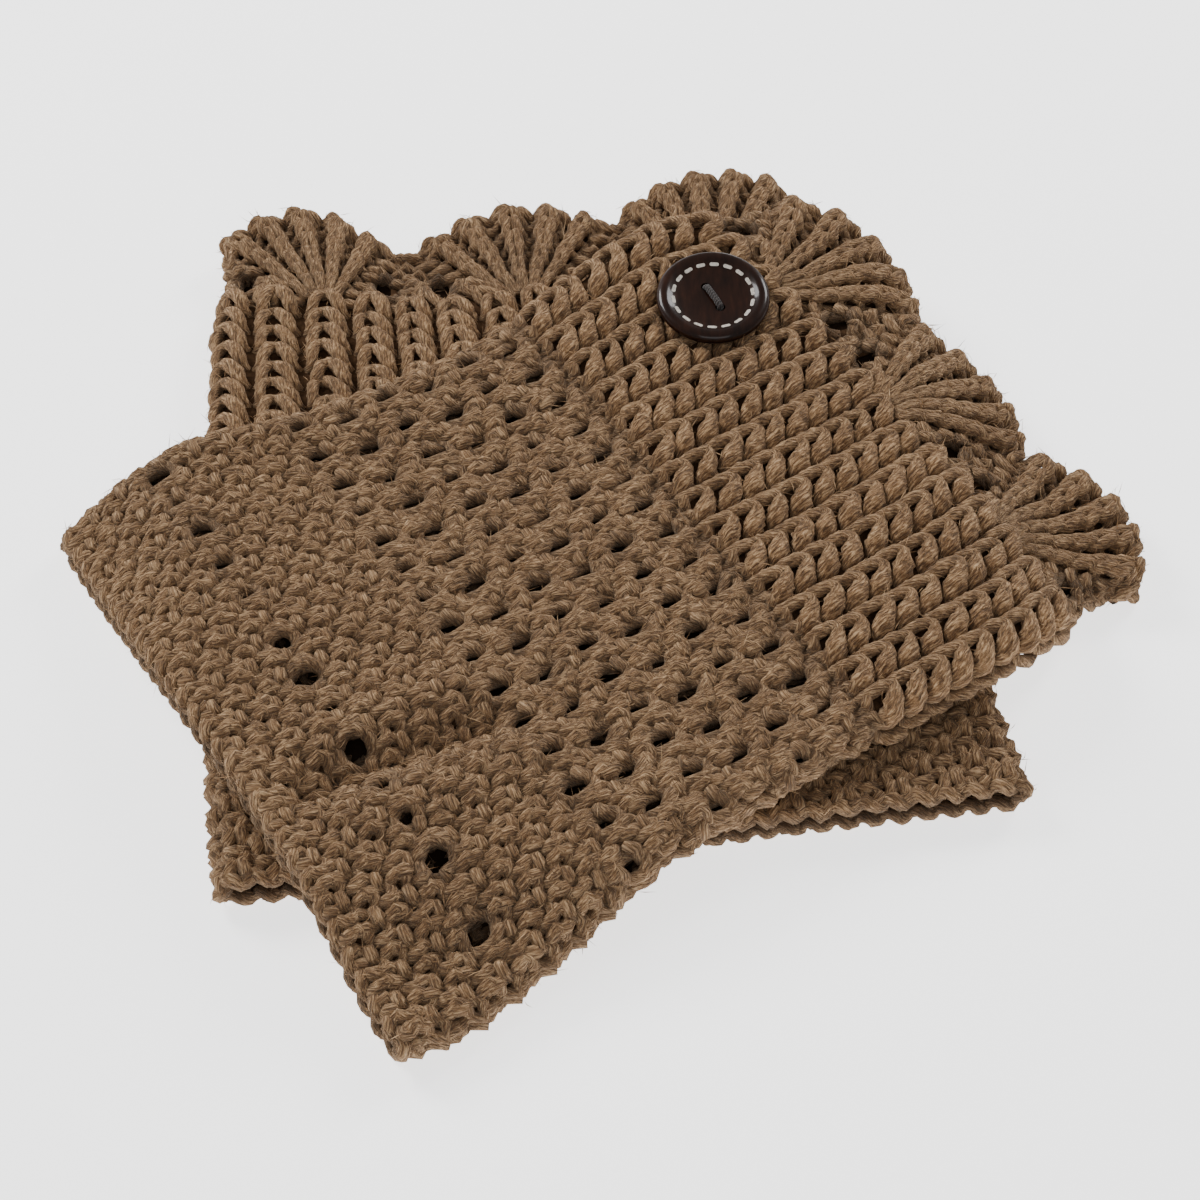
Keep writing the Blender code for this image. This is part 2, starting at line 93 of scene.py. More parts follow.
# Across a cuff, and how far the cloth at the shells is pulled along and aside there
LOWER_PULLS = [
    (-71.0, 0.0, 0.0),
    (-47.0, -2.0, -1.8),
    (-24.0, -7.0, -3.0),
    (0.0, -8.0, -1.0),
    (24.0, -4.5, 1.2),
    (47.0, -3.0, 1.0),
    (71.0, 0.0, 0.0),
]
UPPER_PULLS = [
    (-71.0, 1.0, 0.0),
    (-47.0, 3.0, 2.5),
    (-24.0, 2.5, 3.4),
    (0.0, 1.0, 2.5),
    (24.0, 1.0, 1.5),
    (47.0, 0.5, 1.2),
    (71.0, -1.0, 0.0),
]
Place = namedtuple("Place", "x y turn")
UNDER_END = 184.0  # how far along the lower cuff holds the upper one up
DROP_START = 1.5  # past the lower cuff's edge, where the upper one starts to come down
DROP_LENGTH = 28.0
LIFT_LENGTH = 20.0  # round the hidden button
DENT_RADIUS = 15.0  # of the dent that a button presses into the knit
Button = namedtuple("Button", "across along tilt press")
BUTTON_RADIUS = 12.5
BUTTON_THICK = 3.4

# Troughs and humps of the cloth, in a cuff's own places: from, to, half width, height
Crease = namedtuple("Crease", "x0 y0 x1 y1 width height")
UPPER_CREASES = [
    Crease(21, 10, 26, 48, 3.6, -3.8),
    Crease(33, 16, 37, 50, 5.0, 2.0),
    Crease(11, 18, 15, 46, 4.6, 1.6),
    Crease(16, 116, 17, 158, 3.5, -1.1),
    Crease(-34, 84, -28, 126, 6.0, -0.6),
    Crease(44, 60, 50, 104, 6.0, -0.7),
]
LOWER_CREASES = [
    Crease(-52, 108, -56, 150, 5.0, -0.8),
    Crease(26, 6, 31, 44, 5.0, -1.0),
    Crease(-20, 4, -24, 30, 5.0, -0.7),
]
# Neck: the shell's place round the cuff. Left and right: by what share its outermost columns are shorter
Shell = namedtuple("Shell", "neck lean left right")
LOWER_SHELLS = [
    Shell(HALF - 45.2, -9.0, 0.0, 0.18),
    Shell(HALF, 0.0, 0.11, 0.10),
    Shell(HALF + 45.2, 5.0, 0.10, 0.0),
    Shell(LAYER + HALF - 45.2, -5.0, 0.0, 0.10),
    Shell(LAYER + HALF, 0.0, 0.12, 0.15),
    Shell(LAYER + HALF + 45.2, 9.0, 0.24, 0.0),
]
UPPER_SHELLS = [
    Shell(turn + HALF + aside, lean, 0.0, 0.0)
    for turn in (0.0, LAYER)
    for aside, lean in ((-45.2, -5.0), (0.0, 0.0), (45.2, 5.0))
]
# Ridge: how much wider a shell's ridges are than the grooves between them, near the edge. Sides: of a strand.
# Front and back: the samples that a stitch has in each layer. Fibres: how many stand off the yarn.
Cuff = namedtuple(
    "Cuff",
    "name place sections pulls creases shells ridge button below seed sides front back fibres",
)
LOWER = Cuff(
    name="lower",
    place=Place(6.5, -74.4, 0.15),
    sections=LOWER_SECTIONS,
    pulls=LOWER_PULLS,
    creases=LOWER_CREASES,
    shells=LOWER_SHELLS,
    ridge=0.02,
    button=Button(40.5, 150.0, 0.0, 1.8),
    below=None,
    seed=11,
    sides=7,
    front=12,
    back=7,
    fibres=9000,
)
UPPER = Cuff(
    name="upper",
    place=Place(-74.4, -57.8, -0.99),
    sections=UPPER_SECTIONS,
    pulls=UPPER_PULLS,
    creases=UPPER_CREASES,
    shells=UPPER_SHELLS,
    ridge=0.24,
    button=Button(-44.4, 144.2, math.radians(9), 1.0),
    below=LOWER,
    seed=29,
    sides=8,
    front=13,
    back=7,
    fibres=17000,
)

# The knit
STITCHES = 60  # in a round
STITCH = ROUND / STITCHES
RIB_PITCH = 2 * STITCH
YARN_RADIUS = 1.40
STRAND_THIN = 0.92  # the least radius of a strand
EDGE_RADIUS = 1.3  # of the strand that closes an edge
LEG_HEIGHT = 1.0  # how far a leg of a stitch stands before the wall's middle
REACH = 0.72  # half a loop's length, as a share of the distance between rounds
LOOP_OUT = 0.15  # how far a loop bulges to each side, in stitches
UNEVEN = 0.08  # how much a strand's radius varies from corner to corner, as a share
FIBRE_RADIUS = 0.085
FIBRE_ROOT = 0.15  # how deep in the yarn a fibre starts
Course = namedtuple("Course", "along step kind")
BAND_PLACES = (3.6, 7.4, 11.2, 14.9, 18.6, 22.2, 26.1, 30.0, 33.8, 37.6, 41.3, 45.0)
BAND = [Course(along, 3.9, "seed") for along in BAND_PLACES]
MESH_PLACES = (52.2, 57.0, 61.9, 66.7, 71.6, 76.4, 81.3, 86.1, 91.0, 95.8, 100.7)
MESH = [
    Course(48.6, 4.0, "seed"),
    *[Course(along, 4.85, "seed") for along in MESH_PLACES],
    Course(105.6, 4.6, "purl"),
]
RIBS = [Course(111.7 + 5.75 * k, 5.75, "rib") for k in range(9)]
# The strand over one rib: share of the way, mm aside, share of a step up, mm out, and its radius
LOWER_RIB = [
    (-0.06, -5.77, -0.52, -0.6, 1.20),
    (0.00, -RIB_PITCH / 2, -0.48, -1.7, 1.10),
    (0.09, -3.90, -0.54, -0.9, 1.15),
    (0.18, -3.10, -0.46, 0.4, 1.30),
    (0.31, -2.75, -0.05, 1.3, 1.40),
    (0.42, -2.30, 0.36, 1.2, 1.40),
    (0.51, -1.30, 0.60, 0.5, 1.30),
    (0.61, -0.10, 0.62, 0.6, 1.40),
    (0.71, 1.10, 0.34, 1.5, 1.65),
    (0.83, 2.30, -0.08, 1.5, 1.70),
    (0.92, 3.00, -0.46, 0.5, 1.50),
    (0.94, 3.70, -0.52, -0.6, 1.20),
    (1.00, RIB_PITCH / 2, -0.48, -1.7, 1.10),
    (1.09, 5.57, -0.54, -0.9, 1.15),
]
UPPER_RIB = [
    (-0.05, -5.47, -0.30, -1.0, 1.20),
    (0.00, -RIB_PITCH / 2, -0.48, -1.6, 1.10),
    (0.08, -3.95, -0.56, -0.8, 1.20),
    (0.17, -3.15, -0.46, 0.5, 1.35),
    (0.30, -2.85, -0.05, 1.4, 1.42),
    (0.41, -2.45, 0.33, 1.6, 1.45),
    (0.50, -1.55, 0.54, 1.45, 1.50),
    (0.60, -0.20, 0.46, 1.35, 1.65),
    (0.71, 1.20, 0.24, 1.1, 2.10),
    (0.82, 2.40, 0.00, 0.8, 2.30),
    (0.90, 3.20, -0.20, 0.0, 1.95),
    (0.95, 4.00, -0.36, -1.0, 1.25),
    (1.00, RIB_PITCH / 2, -0.48, -1.6, 1.10),
    (1.08, 5.52, -0.56, -0.8, 1.20),
]
# Across the lower cuff's front layer, and how far aside its ribs lie there
RIB_SPREAD = [
    (-71.0, 0.0),
    (-66.3, -1.0),
    (-56.8, 1.0),
    (-47.3, 3.6),
    (-37.9, 5.3),
    (-28.4, 5.0),
    (-9.5, 4.0),
    (10.0, 2.0),
    (40.0, 0.0),
    (71.0, 0.0),
]

# The shells
FAN_STEP = 4.6
FAN_ROOT = 155.0  # the point that a shell's columns run towards lies this far along
# Reach: how far a round lies from that point. Recess and sag: how far it sinks and drops between two shells
FanRound = namedtuple("FanRound", "reach recess sag")
FANS = [
    FanRound(9.6, 0.3, 0.6),
    FanRound(14.2, 0.6, 0.6),
    FanRound(18.8, 0.9, 0.8),
    FanRound(23.4, 1.1, 1.4),
    FanRound(28.0, 1.1, 2.2),
    FanRound(32.4, 0.9, 2.8),
]
FAN_EDGE = FanRound(34.7, 0.9, 3.6)
FAN_COLUMNS = 9
FAN_COLUMN = 8.5  # degrees
FAN_SIDE = FAN_COLUMNS * FAN_COLUMN / 2
FAN_RELIEF = 1.4  # how far a shell's ridges and grooves stand from the wall
FAN_SINK = 0.15
FAN_TAPER_START = 9.0  # near its neck a shell's grooves are narrower still
FAN_TAPER = 14.0
VALLEY_STITCH = 5.6  # the width of a stitch between two shells

# The eyelets
MESH_SWAY = 1.15  # the columns of the mesh run to and fro by this much, and its eyelets with them
MESH_SWAY_LENGTH = 19.4
# Wide and tall: half of an eyelet's size. Each row beside the shells has one eyelet in a layer
EyeletRow = namedtuple("EyeletRow", "along pitch start wide tall")
EYELETS = [
    EyeletRow(23.1, ROUND / 28, HALF - 3.5, 2.6, 2.75),
    *[EyeletRow(a, RIB_PITCH, 1.5 * STITCH - MESH_SWAY, 2.75, 3.1) for a in (53.2, 72.6, 92.0)],
    *[EyeletRow(a, RIB_PITCH, 1.5 * STITCH + MESH_SWAY, 2.75, 3.1) for a in (62.9, 82.3, 101.7)],
    *[EyeletRow(165.2, LAYER, HALF + a, 3.6, 4.3) for a in (-30.2, -17.0, 17.0, 30.2)],
    *[EyeletRow(165.2, LAYER, a, 3.2, 3.8) for a in (6.6, LAYER - 6.6)],
]
HEM_END = 40.0  # an eyelet row nearer to the hem than this is in the hem band
HEM_VARY = 0.26  # how much eyelets differ in size, as a share
MESH_VARY = 0.12
EYELET_STRAY = 0.35  # and in place
EYELET_REACH = 16.0  # a round further off isn't moved
EYELET_EASE = 2.6  # the higher, the sooner the push ends
BACK_OPEN = 34.0  # behind, the hem's eyelets are open this far from the left fold, and small past it
BACK_SIZE = 0.3
FOLD_SIZE = 0.35  # an eyelet's size on a fold, as a share
FOLD_EASE = 6.0


def smooth(share):
    """From 0 to 1 without a kink at either end."""
    share = np.clip(share, 0.0, 1.0)
    return share * share * (3 - 2 * share)


def through(table, place, column):
    """The values of a table's column at places, on a smooth curve through its rows."""
    rows = np.array(table, dtype=float)
    places = rows[:, 0]
    values = rows[:, column]
    last = len(places) - 2
    k = np.clip(np.searchsorted(places, place, side="right") - 1, 0, last)
    before = np.maximum(k - 1, 0)
    after = np.minimum(k + 2, last + 1)
    step = places[k + 1] - places[k]
    t = np.clip((place - places[k]) / step, 0.0, 1.0)
    start = (values[k + 1] - values[before]) / (places[k + 1] - places[before]) * step
    end = (values[after] - values[k]) / (places[after] - places[k]) * step
    return (
        values[k] * (2 * t**3 - 3 * t**2 + 1)
        + start * (t**3 - 2 * t**2 + t)
        + values[k + 1] * (3 * t**2 - 2 * t**3)
        + end * (t**3 - t**2)
    )


def outline(cuff, along):
    """Distances from a cuff's middle line to its left and right folds."""
    return through(cuff.sections, along, 1), through(cuff.sections, along, 2)


def pulled(cuff, arc, along):
    """Where a place of the plain shape lies, with the edging pulled."""
    share = smooth(along / NECK_ALONG)
    return arc + through(cuff.pulls, arc, 2) * share, along + through(cuff.pulls, arc, 1) * share


def half_gap(share):
    """Half the way between the layers' middles, at a share of the way to a fold's bend."""
    return (WALL + GAP_MIDDLE + (GAP_FOLD - GAP_MIDDLE) * share**4) / 2


def across(cuff, arc, along):
    """Across the cuff and up from its middle plane: the wall's middle, and the way that it faces."""
    left, right = outline(cuff, along)
    straight = np.where(arc < 0, left, right) - WALL / 2 - FOLD_RADIUS
    run = np.abs(arc) / HALF * (straight + FOLD_RADIUS * math.pi / 2)
    way = np.where(arc < 0, -1.0, 1.0)
    turn = np.clip((run - straight) / FOLD_RADIUS, 0.0, None)
    bent = run > straight
    high = np.where(bent, FOLD_RADIUS * np.cos(turn), half_gap(np.minimum(run / straight, 1.0)))
    x = way * np.where(bent, straight + FOLD_RADIUS * np.sin(turn), run)
    return x, high, way * np.sin(turn), np.cos(turn)


def layer_height(cuff, x, along):
    """Height of the plane between the two layers, above what the cuff lies on."""
    left, right = outline(cuff, along)
    straight = np.where(x < 0, left, right) - WALL / 2 - FOLD_RADIUS
    return WALL / 2 + half_gap(np.minimum(1.0, np.abs(x) / straight))


def in_pair(cuff, x, y):
    """A place on a cuff, as it lies in the pair."""
    cos, sin = math.cos(cuff.place.turn), math.sin(cuff.place.turn)
    return x * cos - y * sin + cuff.place.x, x * sin + y * cos + cuff.place.y


def in_cuff(cuff, x, y):
    """A place in the pair, seen from a cuff."""
    cos, sin = math.cos(cuff.place.turn), math.sin(cuff.place.turn)
    x = x - cuff.place.x
    y = y - cuff.place.y
    return x * cos + y * sin, y * cos - x * sin


def thickness(cuff, x, along):
    """Height of a cuff's top over what it lies on."""
    ribs = smooth((along - MESH_TOP + 12.0) / 10.0)
    return 2 * layer_height(cuff, x, along) + BAND_RISE + (RIB_RISE - BAND_RISE) * ribs


def support(cuff, x, y):
    """Height of what a cuff lies on: the floor, or the cuff below it and its button."""
    below = cuff.below
    if below is None:
        return np.zeros_like(x)
    lx, ly = in_cuff(below, x, y)
    along = np.clip(ly, 0.0, UNDER_END)
    left, right = outline(below, along)
    past = np.hypot(np.maximum(np.maximum(-left - lx, lx - right), 0.0), ly - along)
    top = thickness(below, lx, along) + REST_GAP
    button = button_seat(below)
    lift = button[2] + BUTTON_THICK + REST_GAP - top
    far = np.hypot(x - button[0], y - button[1]) - BUTTON_RADIUS - REST_GAP
    drop = 1 - smooth((past - DROP_START) / DROP_LENGTH)
    return top * drop + lift * (1 - smooth(far / LIFT_LENGTH))


def button_seat(cuff):
    """The middle of a button's underside."""
    place = np.array([cuff.button.across])
    arc, along = pulled(cuff, place, np.array([cuff.button.along]))
    aside = across(cuff, arc, along)[0]
    x, y = in_pair(cuff, aside, along)
    top = support(cuff, x, y) + thickness(cuff, aside, along)
    return np.array([x[0], y[0], top[0] - cuff.button.press])


def creased(cuff, x, along):
    """How far the front layer's cloth rises or sinks at its creases."""
    rise = np.zeros_like(x)
    for c in cuff.creases:
        run = ((x - c.x0) * (c.x1 - c.x0) + (along - c.y0) * (c.y1 - c.y0)) / (
            (c.x1 - c.x0) ** 2 + (c.y1 - c.y0) ** 2
        )
        near = np.clip(run, 0.0, 1.0)
        far = np.hypot(x - c.x0 - near * (c.x1 - c.x0), along - c.y0 - near * (c.y1 - c.y0))
        rise += c.height * np.exp(-((far / c.width) ** 2))
    return rise


def on_cuff(cuff, around, along, offset, radius):
    """Points and outward ways at places round and along a cuff; offset is from the wall's middle."""
    around = np.mod(around, ROUND)
    front = around < LAYER
    arc = np.where(front, around - HALF, LAYER + HALF - around)
    side = np.where(front, 1.0, -1.0)
    arc, along = pulled(cuff, arc, along)
    x, high, face_x, face_z = across(cuff, arc, along)
    wx, wy = in_pair(cuff, x + face_x * offset, along)
    ground = support(cuff, wx, wy)
    rise = high + face_z * offset + np.where(front, creased(cuff, x, along), 0.0)
    wz = ground + layer_height(cuff, x, along) + side * rise
    seat = button_seat(cuff)
    near = np.hypot(wx - seat[0], wy - seat[1])
    under = seat[2] + (wy - seat[1]) * math.tan(cuff.button.tilt) - CLEAR - radius
    press = 1 - smooth((near - BUTTON_RADIUS) / (DENT_RADIUS - BUTTON_RADIUS))
    wz = np.where(front, wz - np.maximum(wz - under, 0.0) * press, wz)
    wz = np.maximum(wz, ground + radius * 0.85)
    turn = cuff.place.turn
    ways = [face_x * math.cos(turn), face_x * math.sin(turn), side * face_z]
    return np.stack([wx, wy, wz], axis=-1), np.stack(ways, axis=-1)


def eyelets_near(row, around):
    """The middles of a row's eyelets beside places. Those of the hem lie between two stitches."""
    nearest = np.round((around - row.start) / row.pitch)
    for k in (-1, 0, 1):
        centre = row.start + (nearest + k) * row.pitch
        yield (np.round(centre / STITCH - 0.5) + 0.5) * STITCH if row.along < HEM_END else centre


def from_fold(around):
    """How far round from the nearer fold."""
    return np.abs(np.mod(around + HALF, LAYER) - HALF)


def opened(around, along, line):
    """Places moved aside by the eyelets. Line is where the round itself runs."""
    aside = np.zeros_like(around)
    up = np.zeros_like(along)
    for row in EYELETS:
        if abs(np.mean(along) - row.along) > EYELET_REACH:
            continue
        in_hem = row.along < HEM_END
        for centre in eyelets_near(row, around):
            size = 1 + (HEM_VARY if in_hem else MESH_VARY) * np.sin(centre * 0.41 + row.along)
            size *= FOLD_SIZE + (1 - FOLD_SIZE) * smooth(from_fold(centre) / FOLD_EASE)
            if in_hem:
                place = np.mod(centre, ROUND)
                size = np.where((place > LAYER) & (place < ROUND - BACK_OPEN), BACK_SIZE, size)
            off_x = around - centre - EYELET_STRAY * np.sin(centre * 1.7 + row.along)
            off_y = along - row.along - EYELET_STRAY * np.sin(centre * 2.3 + row.along * 1.3)
            if row.along > NECK_ALONG:  # beside a shell, a round keeps to one side
                side = np.where(line > row.along, 1.0, -1.0)
                rim = row.tall * size * np.sqrt(np.maximum(1 - (off_x / (row.wide * size)) ** 2, 0.0))
                gain = rim - side * off_y
                up += side * np.where(rim > 0, (gain + np.sqrt(gain**2 + 0.3)) / 2, 0.0)
                continue
            dx = off_x / (row.wide * size)
            dy = off_y / (row.tall * size)
            far = np.hypot(dx, dy) + 1e-4
            grow = (1 + far**EYELET_EASE) ** (1 / EYELET_EASE) / far - 1
            aside += off_x * grow
            up += off_y * grow
    return around + aside, along + up


# Guides: each gives, for places counted in stitches, where a round runs and how its wall stands there
Guide = namedtuple("Guide", "around along up_x up_y relief width")


def to_and_fro(along):
    """How far aside a round of the mesh lies: the columns between the eyelets run in a zigzag."""
    sway = -MESH_SWAY * np.cos(2 * math.pi * (along - 53.2) / MESH_SWAY_LENGTH)
    return np.where((along > 50) & (along < 104), sway, 0.0)


def wave(around, along, height):
    """How far a round strays from a straight line."""
    return height * np.sin(2 * math.pi * around / ROUND * 3 + along)


def straight_guide(course):
    """The guide of a round of the hem band or the mesh."""

    def at(stitches):
        around = (stitches + 0.5) * STITCH + to_and_fro(course.along + 1.0)
        along = course.along + wave(around, course.along, 0.35)
        none = np.zeros_like(around)
        return Guide(around, along, none, none + 1.0, none, none + STITCH)

    return at


def fan_point(shell, angle, reach):
    """A place on a shell's round, and the way that its column runs."""
    short = np.where(angle > 0, shell.right, shell.left)
    reach = reach * (1 - short * smooth(np.abs(angle) / FAN_SIDE))
    turned = np.radians(angle + shell.lean)
    x, y = np.sin(turned), np.cos(turned)
    back = (NECK_ALONG - FAN_ROOT) * math.sin(math.radians(shell.lean))
    return shell.neck - back + reach * x, FAN_ROOT + reach * y, x, y


def after(shells, k):
    """The shell that follows a shell round the cuff, and how far round its count starts again."""
    return shells[(k + 1) % len(shells)], ROUND if k == len(shells) - 1 else 0.0


def valley_columns(shells, reach):
    """How many stitches a round has between neighbouring shells."""
    counts = []
    for k, shell in enumerate(shells):
        following, ahead = after(shells, k)
        start, end = fan_point(shell, FAN_SIDE, reach)[0], fan_point(following, -FAN_SIDE, reach)[0]
        counts.append(max(1, round((end + ahead - start) / VALLEY_STITCH)))
    return counts


def fan_guide(cuff, reach, recess, sag):
    """The guide of a round of the shells, its number of stitches, and how many lie in each valley."""
    shells = cuff.shells
    counts = valley_columns(shells, reach)
    starts = np.cumsum([0] + [FAN_COLUMNS + n for n in counts])
    total = starts[-1]
    spread = cuff.ridge + 0.40 * (1 - smooth((reach - FAN_TAPER_START) / FAN_TAPER))

    def at(stitches):
        place = np.mod(stitches, total)
        turns = np.floor(stitches / total) * ROUND
        which = np.clip(np.searchsorted(starts, place, side="right") - 1, 0, len(shells) - 1)
        rest = place - starts[which]
        out = [np.zeros_like(place) for _ in range(6)]
        for k, shell in enumerate(shells):
            following, ahead = after(shells, k)
            angle = -FAN_SIDE + FAN_COLUMN * np.minimum(rest, FAN_COLUMNS)
            phase = 2 * math.pi * angle / (2 * FAN_COLUMN)
            angle = angle + FAN_COLUMN / math.pi * spread * np.sin(phase)
            fx, fy, ux, uy = fan_point(shell, angle, reach)
            ax, ay, aux, auy = fan_point(following, np.full_like(angle, -FAN_SIDE), reach)
            share = np.clip((rest - FAN_COLUMNS) / counts[k], 0.0, 1.0)
            around = fx * (1 - share) + (ax + ahead) * share
            along = fy * (1 - share) + ay * share - 4 * share * (1 - share) * sag
            up_x = ux * (1 - share) + aux * share
            up_y = uy * (1 - share) + auy * share
            size = np.hypot(up_x, up_y)
            fan = FAN_RELIEF * np.cos(phase) - FAN_SINK
            edge = np.minimum(share, 1 - share) * counts[k]
            relief = np.where(rest <= FAN_COLUMNS, fan, -0.1 - recess * smooth(edge / 1.2))
            column = reach * math.radians(FAN_COLUMN) * (1 + spread * np.cos(phase))
            valley = (ax + ahead - fx) / counts[k]
            width = np.where(rest <= FAN_COLUMNS, column, valley)
            here = which == k
            for array, found in zip(out, (around, along, up_x / size, up_y / size, relief, width)):
                array[here] = found[here]
        out[0] = out[0] + turns
        return Guide(*out)

    return at, int(total), counts


def stitch_kinds(course, index):
    """Which way each stitch of a round is drawn: 1 shows its legs in front, -1 its head and feet."""
    columns = np.arange(STITCHES)
    if course.kind == "seed":
        return np.where((columns + index) % 2 == 0, 1.0, -1.0)
    return np.full(STITCHES, -1.0)


def fan_kinds(counts, plain):
    """The same for a round of the shells. Plain valleys show no legs."""
    found = []
    for n in counts:
        found += [1.0 if k % 2 == 0 else -1.0 for k in range(FAN_COLUMNS)]
        found += [-1.0 if plain or k % 2 == 0 else 1.0 for k in range(n)]
    return np.array(found)


KNOTS = np.array([0.0, 0.16, 0.35, 0.5, 0.65, 0.84, 1.0])  # foot, leg, shoulder, head, and back


def strand_heights(own, following, stitch, share):
    """How far a strand stands before or behind the wall at shares of its stitch."""
    feet = -(np.roll(own, 1) + own) / 2
    table = np.stack([feet, own, following, -following, following, own, np.roll(feet, -1)], axis=1)
    k = np.clip(np.searchsorted(KNOTS, share, side="right") - 1, 0, len(KNOTS) - 2)
    blend = smooth((share - KNOTS[k]) / (KNOTS[k + 1] - KNOTS[k]))
    return table[stitch, k] * (1 - blend) + table[stitch, k + 1] * blend


def spaced(samples):
    """For each sample of a round: its stitch, and the share of the way through it."""
    stitch = np.repeat(np.arange(len(samples)), samples)
    return stitch, np.concatenate([np.arange(n) / n for n in samples])


def stitch_places(cuff, guide, count):
    """The samples of a round: fewer to a stitch behind, where they are less seen."""
    middles = guide(np.arange(count) + 0.5).around
    return spaced([cuff.front if m % ROUND < LAYER else cuff.back for m in middles])


def chances(luck, number, stitch, share):
    """Chance differences between stitches, which fade where one meets the next."""
    fade = (1 - np.cos(2 * math.pi * share)) / 2
    return luck.normal(0.0, 1.0, (number, stitch[-1] + 1))[:, stitch] * fade


# Deep: how far a strand stands out of the knit, made lower round eyelets and in grooves; the yarn's colour is
# painted darker where it is low, as painted shade.
Strand = namedtuple("Strand", "points ways radius deep")


def knit_round(cuff, luck, guide, own, following, step, head=1.0, foot=1.0, loop=LOOP_OUT, size=1.0):
    """One round of stitches as a closed strand. Head and foot shorten its loops at an edge."""
    stitch, share = stitch_places(cuff, guide, len(own))
    turn = 2 * math.pi * share
    vary = chances(luck, 5, stitch, share)
    bulge = loop + 0.05 * (np.maximum(own, 0))[stitch] + 0.015 * vary[0]
    place = stitch + share + bulge * np.sin(2 * turn)
    here = guide(place)
    reach = REACH * step * (1 + 0.05 * vary[1])
    lift = reach * np.where(share < 0.25, foot, np.where(share > 0.75, foot, head)) * np.cos(turn)
    open_leg = np.clip((here.width - STITCH) / STITCH, 0.0, 1.0)
    lean = -1.5 * open_leg * (1 + np.cos(turn)) / 2
    around = here.around + here.up_x * lift + lean + 0.26 * vary[2]
    along = here.along + here.up_y * lift + 0.22 * vary[3]
    radius = np.minimum(YARN_RADIUS * (1 - 0.08 * open_leg), 0.30 * here.width + 0.22)
    radius = np.maximum(size * radius, STRAND_THIN)
    radius = radius * (1 - 0.10 * np.sin(turn) * (0.3 + open_leg)) * (1 + 0.03 * vary[4])
    moved_around, moved_along = opened(around, along, here.along)
    # Painted shade: strands pushed aside round an eyelet are marked deeper, so the yarn round each eyelet is
    # painted darker.
    shade = 0.7 * np.hypot(moved_around - around, moved_along - along)
    height = LEG_HEIGHT * strand_heights(own, following, stitch, share)
    height = height * np.clip(here.width / STITCH, 0.4, 1.0)
    offset = here.relief + height + 0.16 * vary[0]
    points, ways = on_cuff(cuff, moved_around, moved_along, offset, radius)
    # Painted shade: the grooves of the shells and the valleys are marked deeper, the ridges less deep.
    shade -= 0.5 * (here.relief + np.minimum(here.relief, 0.0))
    return Strand(points, ways, radius, height - shade)


def rib_round(cuff, luck, course):
    """A round of the ribs, whose strand arches over each rib and dips into the groove beside it."""
    chart = UPPER_RIB if cuff.below else LOWER_RIB
    middles = (np.arange(STITCHES // 2) + 0.5) * RIB_PITCH
    rib, share = spaced([2 * (cuff.front if m < LAYER else cuff.back) - 2 for m in middles])
    vary = chances(luck, 4, rib, share)
    around = middles[rib] + through(chart, share, 1) + 0.36 * vary[0]
    if cuff.below is None:
        around += np.where(around < LAYER, through(RIB_SPREAD, around - HALF, 1), 0.0)
    up = through(chart, share, 2) * (1 + 0.07 * vary[1])
    line = course.along + wave(middles[rib], course.along, 0.3)
    along = line + up * course.step + 0.40 * vary[2]
    out = through(chart, share, 3) + 0.28 * vary[3]
    radius = through(chart, share, 4) * (1 + 0.08 * vary[1])
    points, ways = on_cuff(cuff, around, along, out, radius)
    # Deep follows how far out the strand stands, for the painted shade in the grooves between ribs.
    return Strand(points, ways, radius, out * 0.7)


def edge_round(cuff, guide, count, sway, twist):
    """The strand that closes an edge: it turns once about the edge at each stitch."""
    stitch, share = stitch_places(cuff, guide, count)
    here = guide(stitch + share)
    turn = 2 * math.pi * share
    lift = sway * np.cos(turn) + here.relief * 0.5
    offset = here.relief * 0.6 + twist * np.sin(turn)
    around = here.around + here.up_x * lift
    along = here.along + here.up_y * lift
    radius = np.full_like(around, EDGE_RADIUS)
    points, ways = on_cuff(cuff, around, along, offset, radius)
    # Deep follows the offset, for painted shade.
    return Strand(points, ways, radius, offset)


def course_rounds(cuff, luck, courses, before):
    """The rounds of a zone; before is the kinds of the round below its first."""
    strands = []
    for k, course in enumerate(courses):
        own = stitch_kinds(course, k)
        head = 0.6 if course is BAND[0] else 1.0
        strands.append(knit_round(cuff, luck, straight_guide(course), own, before, course.step, head=head))
        before = own
    return strands, before


def shell_rounds(cuff, luck):
    """The rounds of the shells and of the valleys between them, and the strand at their edge."""
    strands = []
    for k, fan in enumerate(FANS):
        guide, _, counts = fan_guide(cuff, *fan)
        own = fan_kinds(counts, k > 1)
        foot = 0.35 if k == len(FANS) - 1 else 1.0
        strands.append(knit_round(cuff, luck, guide, own, own, FAN_STEP, foot=foot, loop=0.18, size=0.93))
    guide, count, _ = fan_guide(cuff, *FAN_EDGE)
    strands.append(edge_round(cuff, guide, count, 0.5, 0.8))
    return strands


def unit(ways):
    return ways / np.linalg.norm(ways, axis=-1, keepdims=True)


def rings(turn, first, second):
    """Ways round each point of a line, from two ways that are square to it."""
    return np.cos(turn)[None, :, None] * first[:, None, :] + np.sin(turn)[None, :, None] * second[:, None, :]


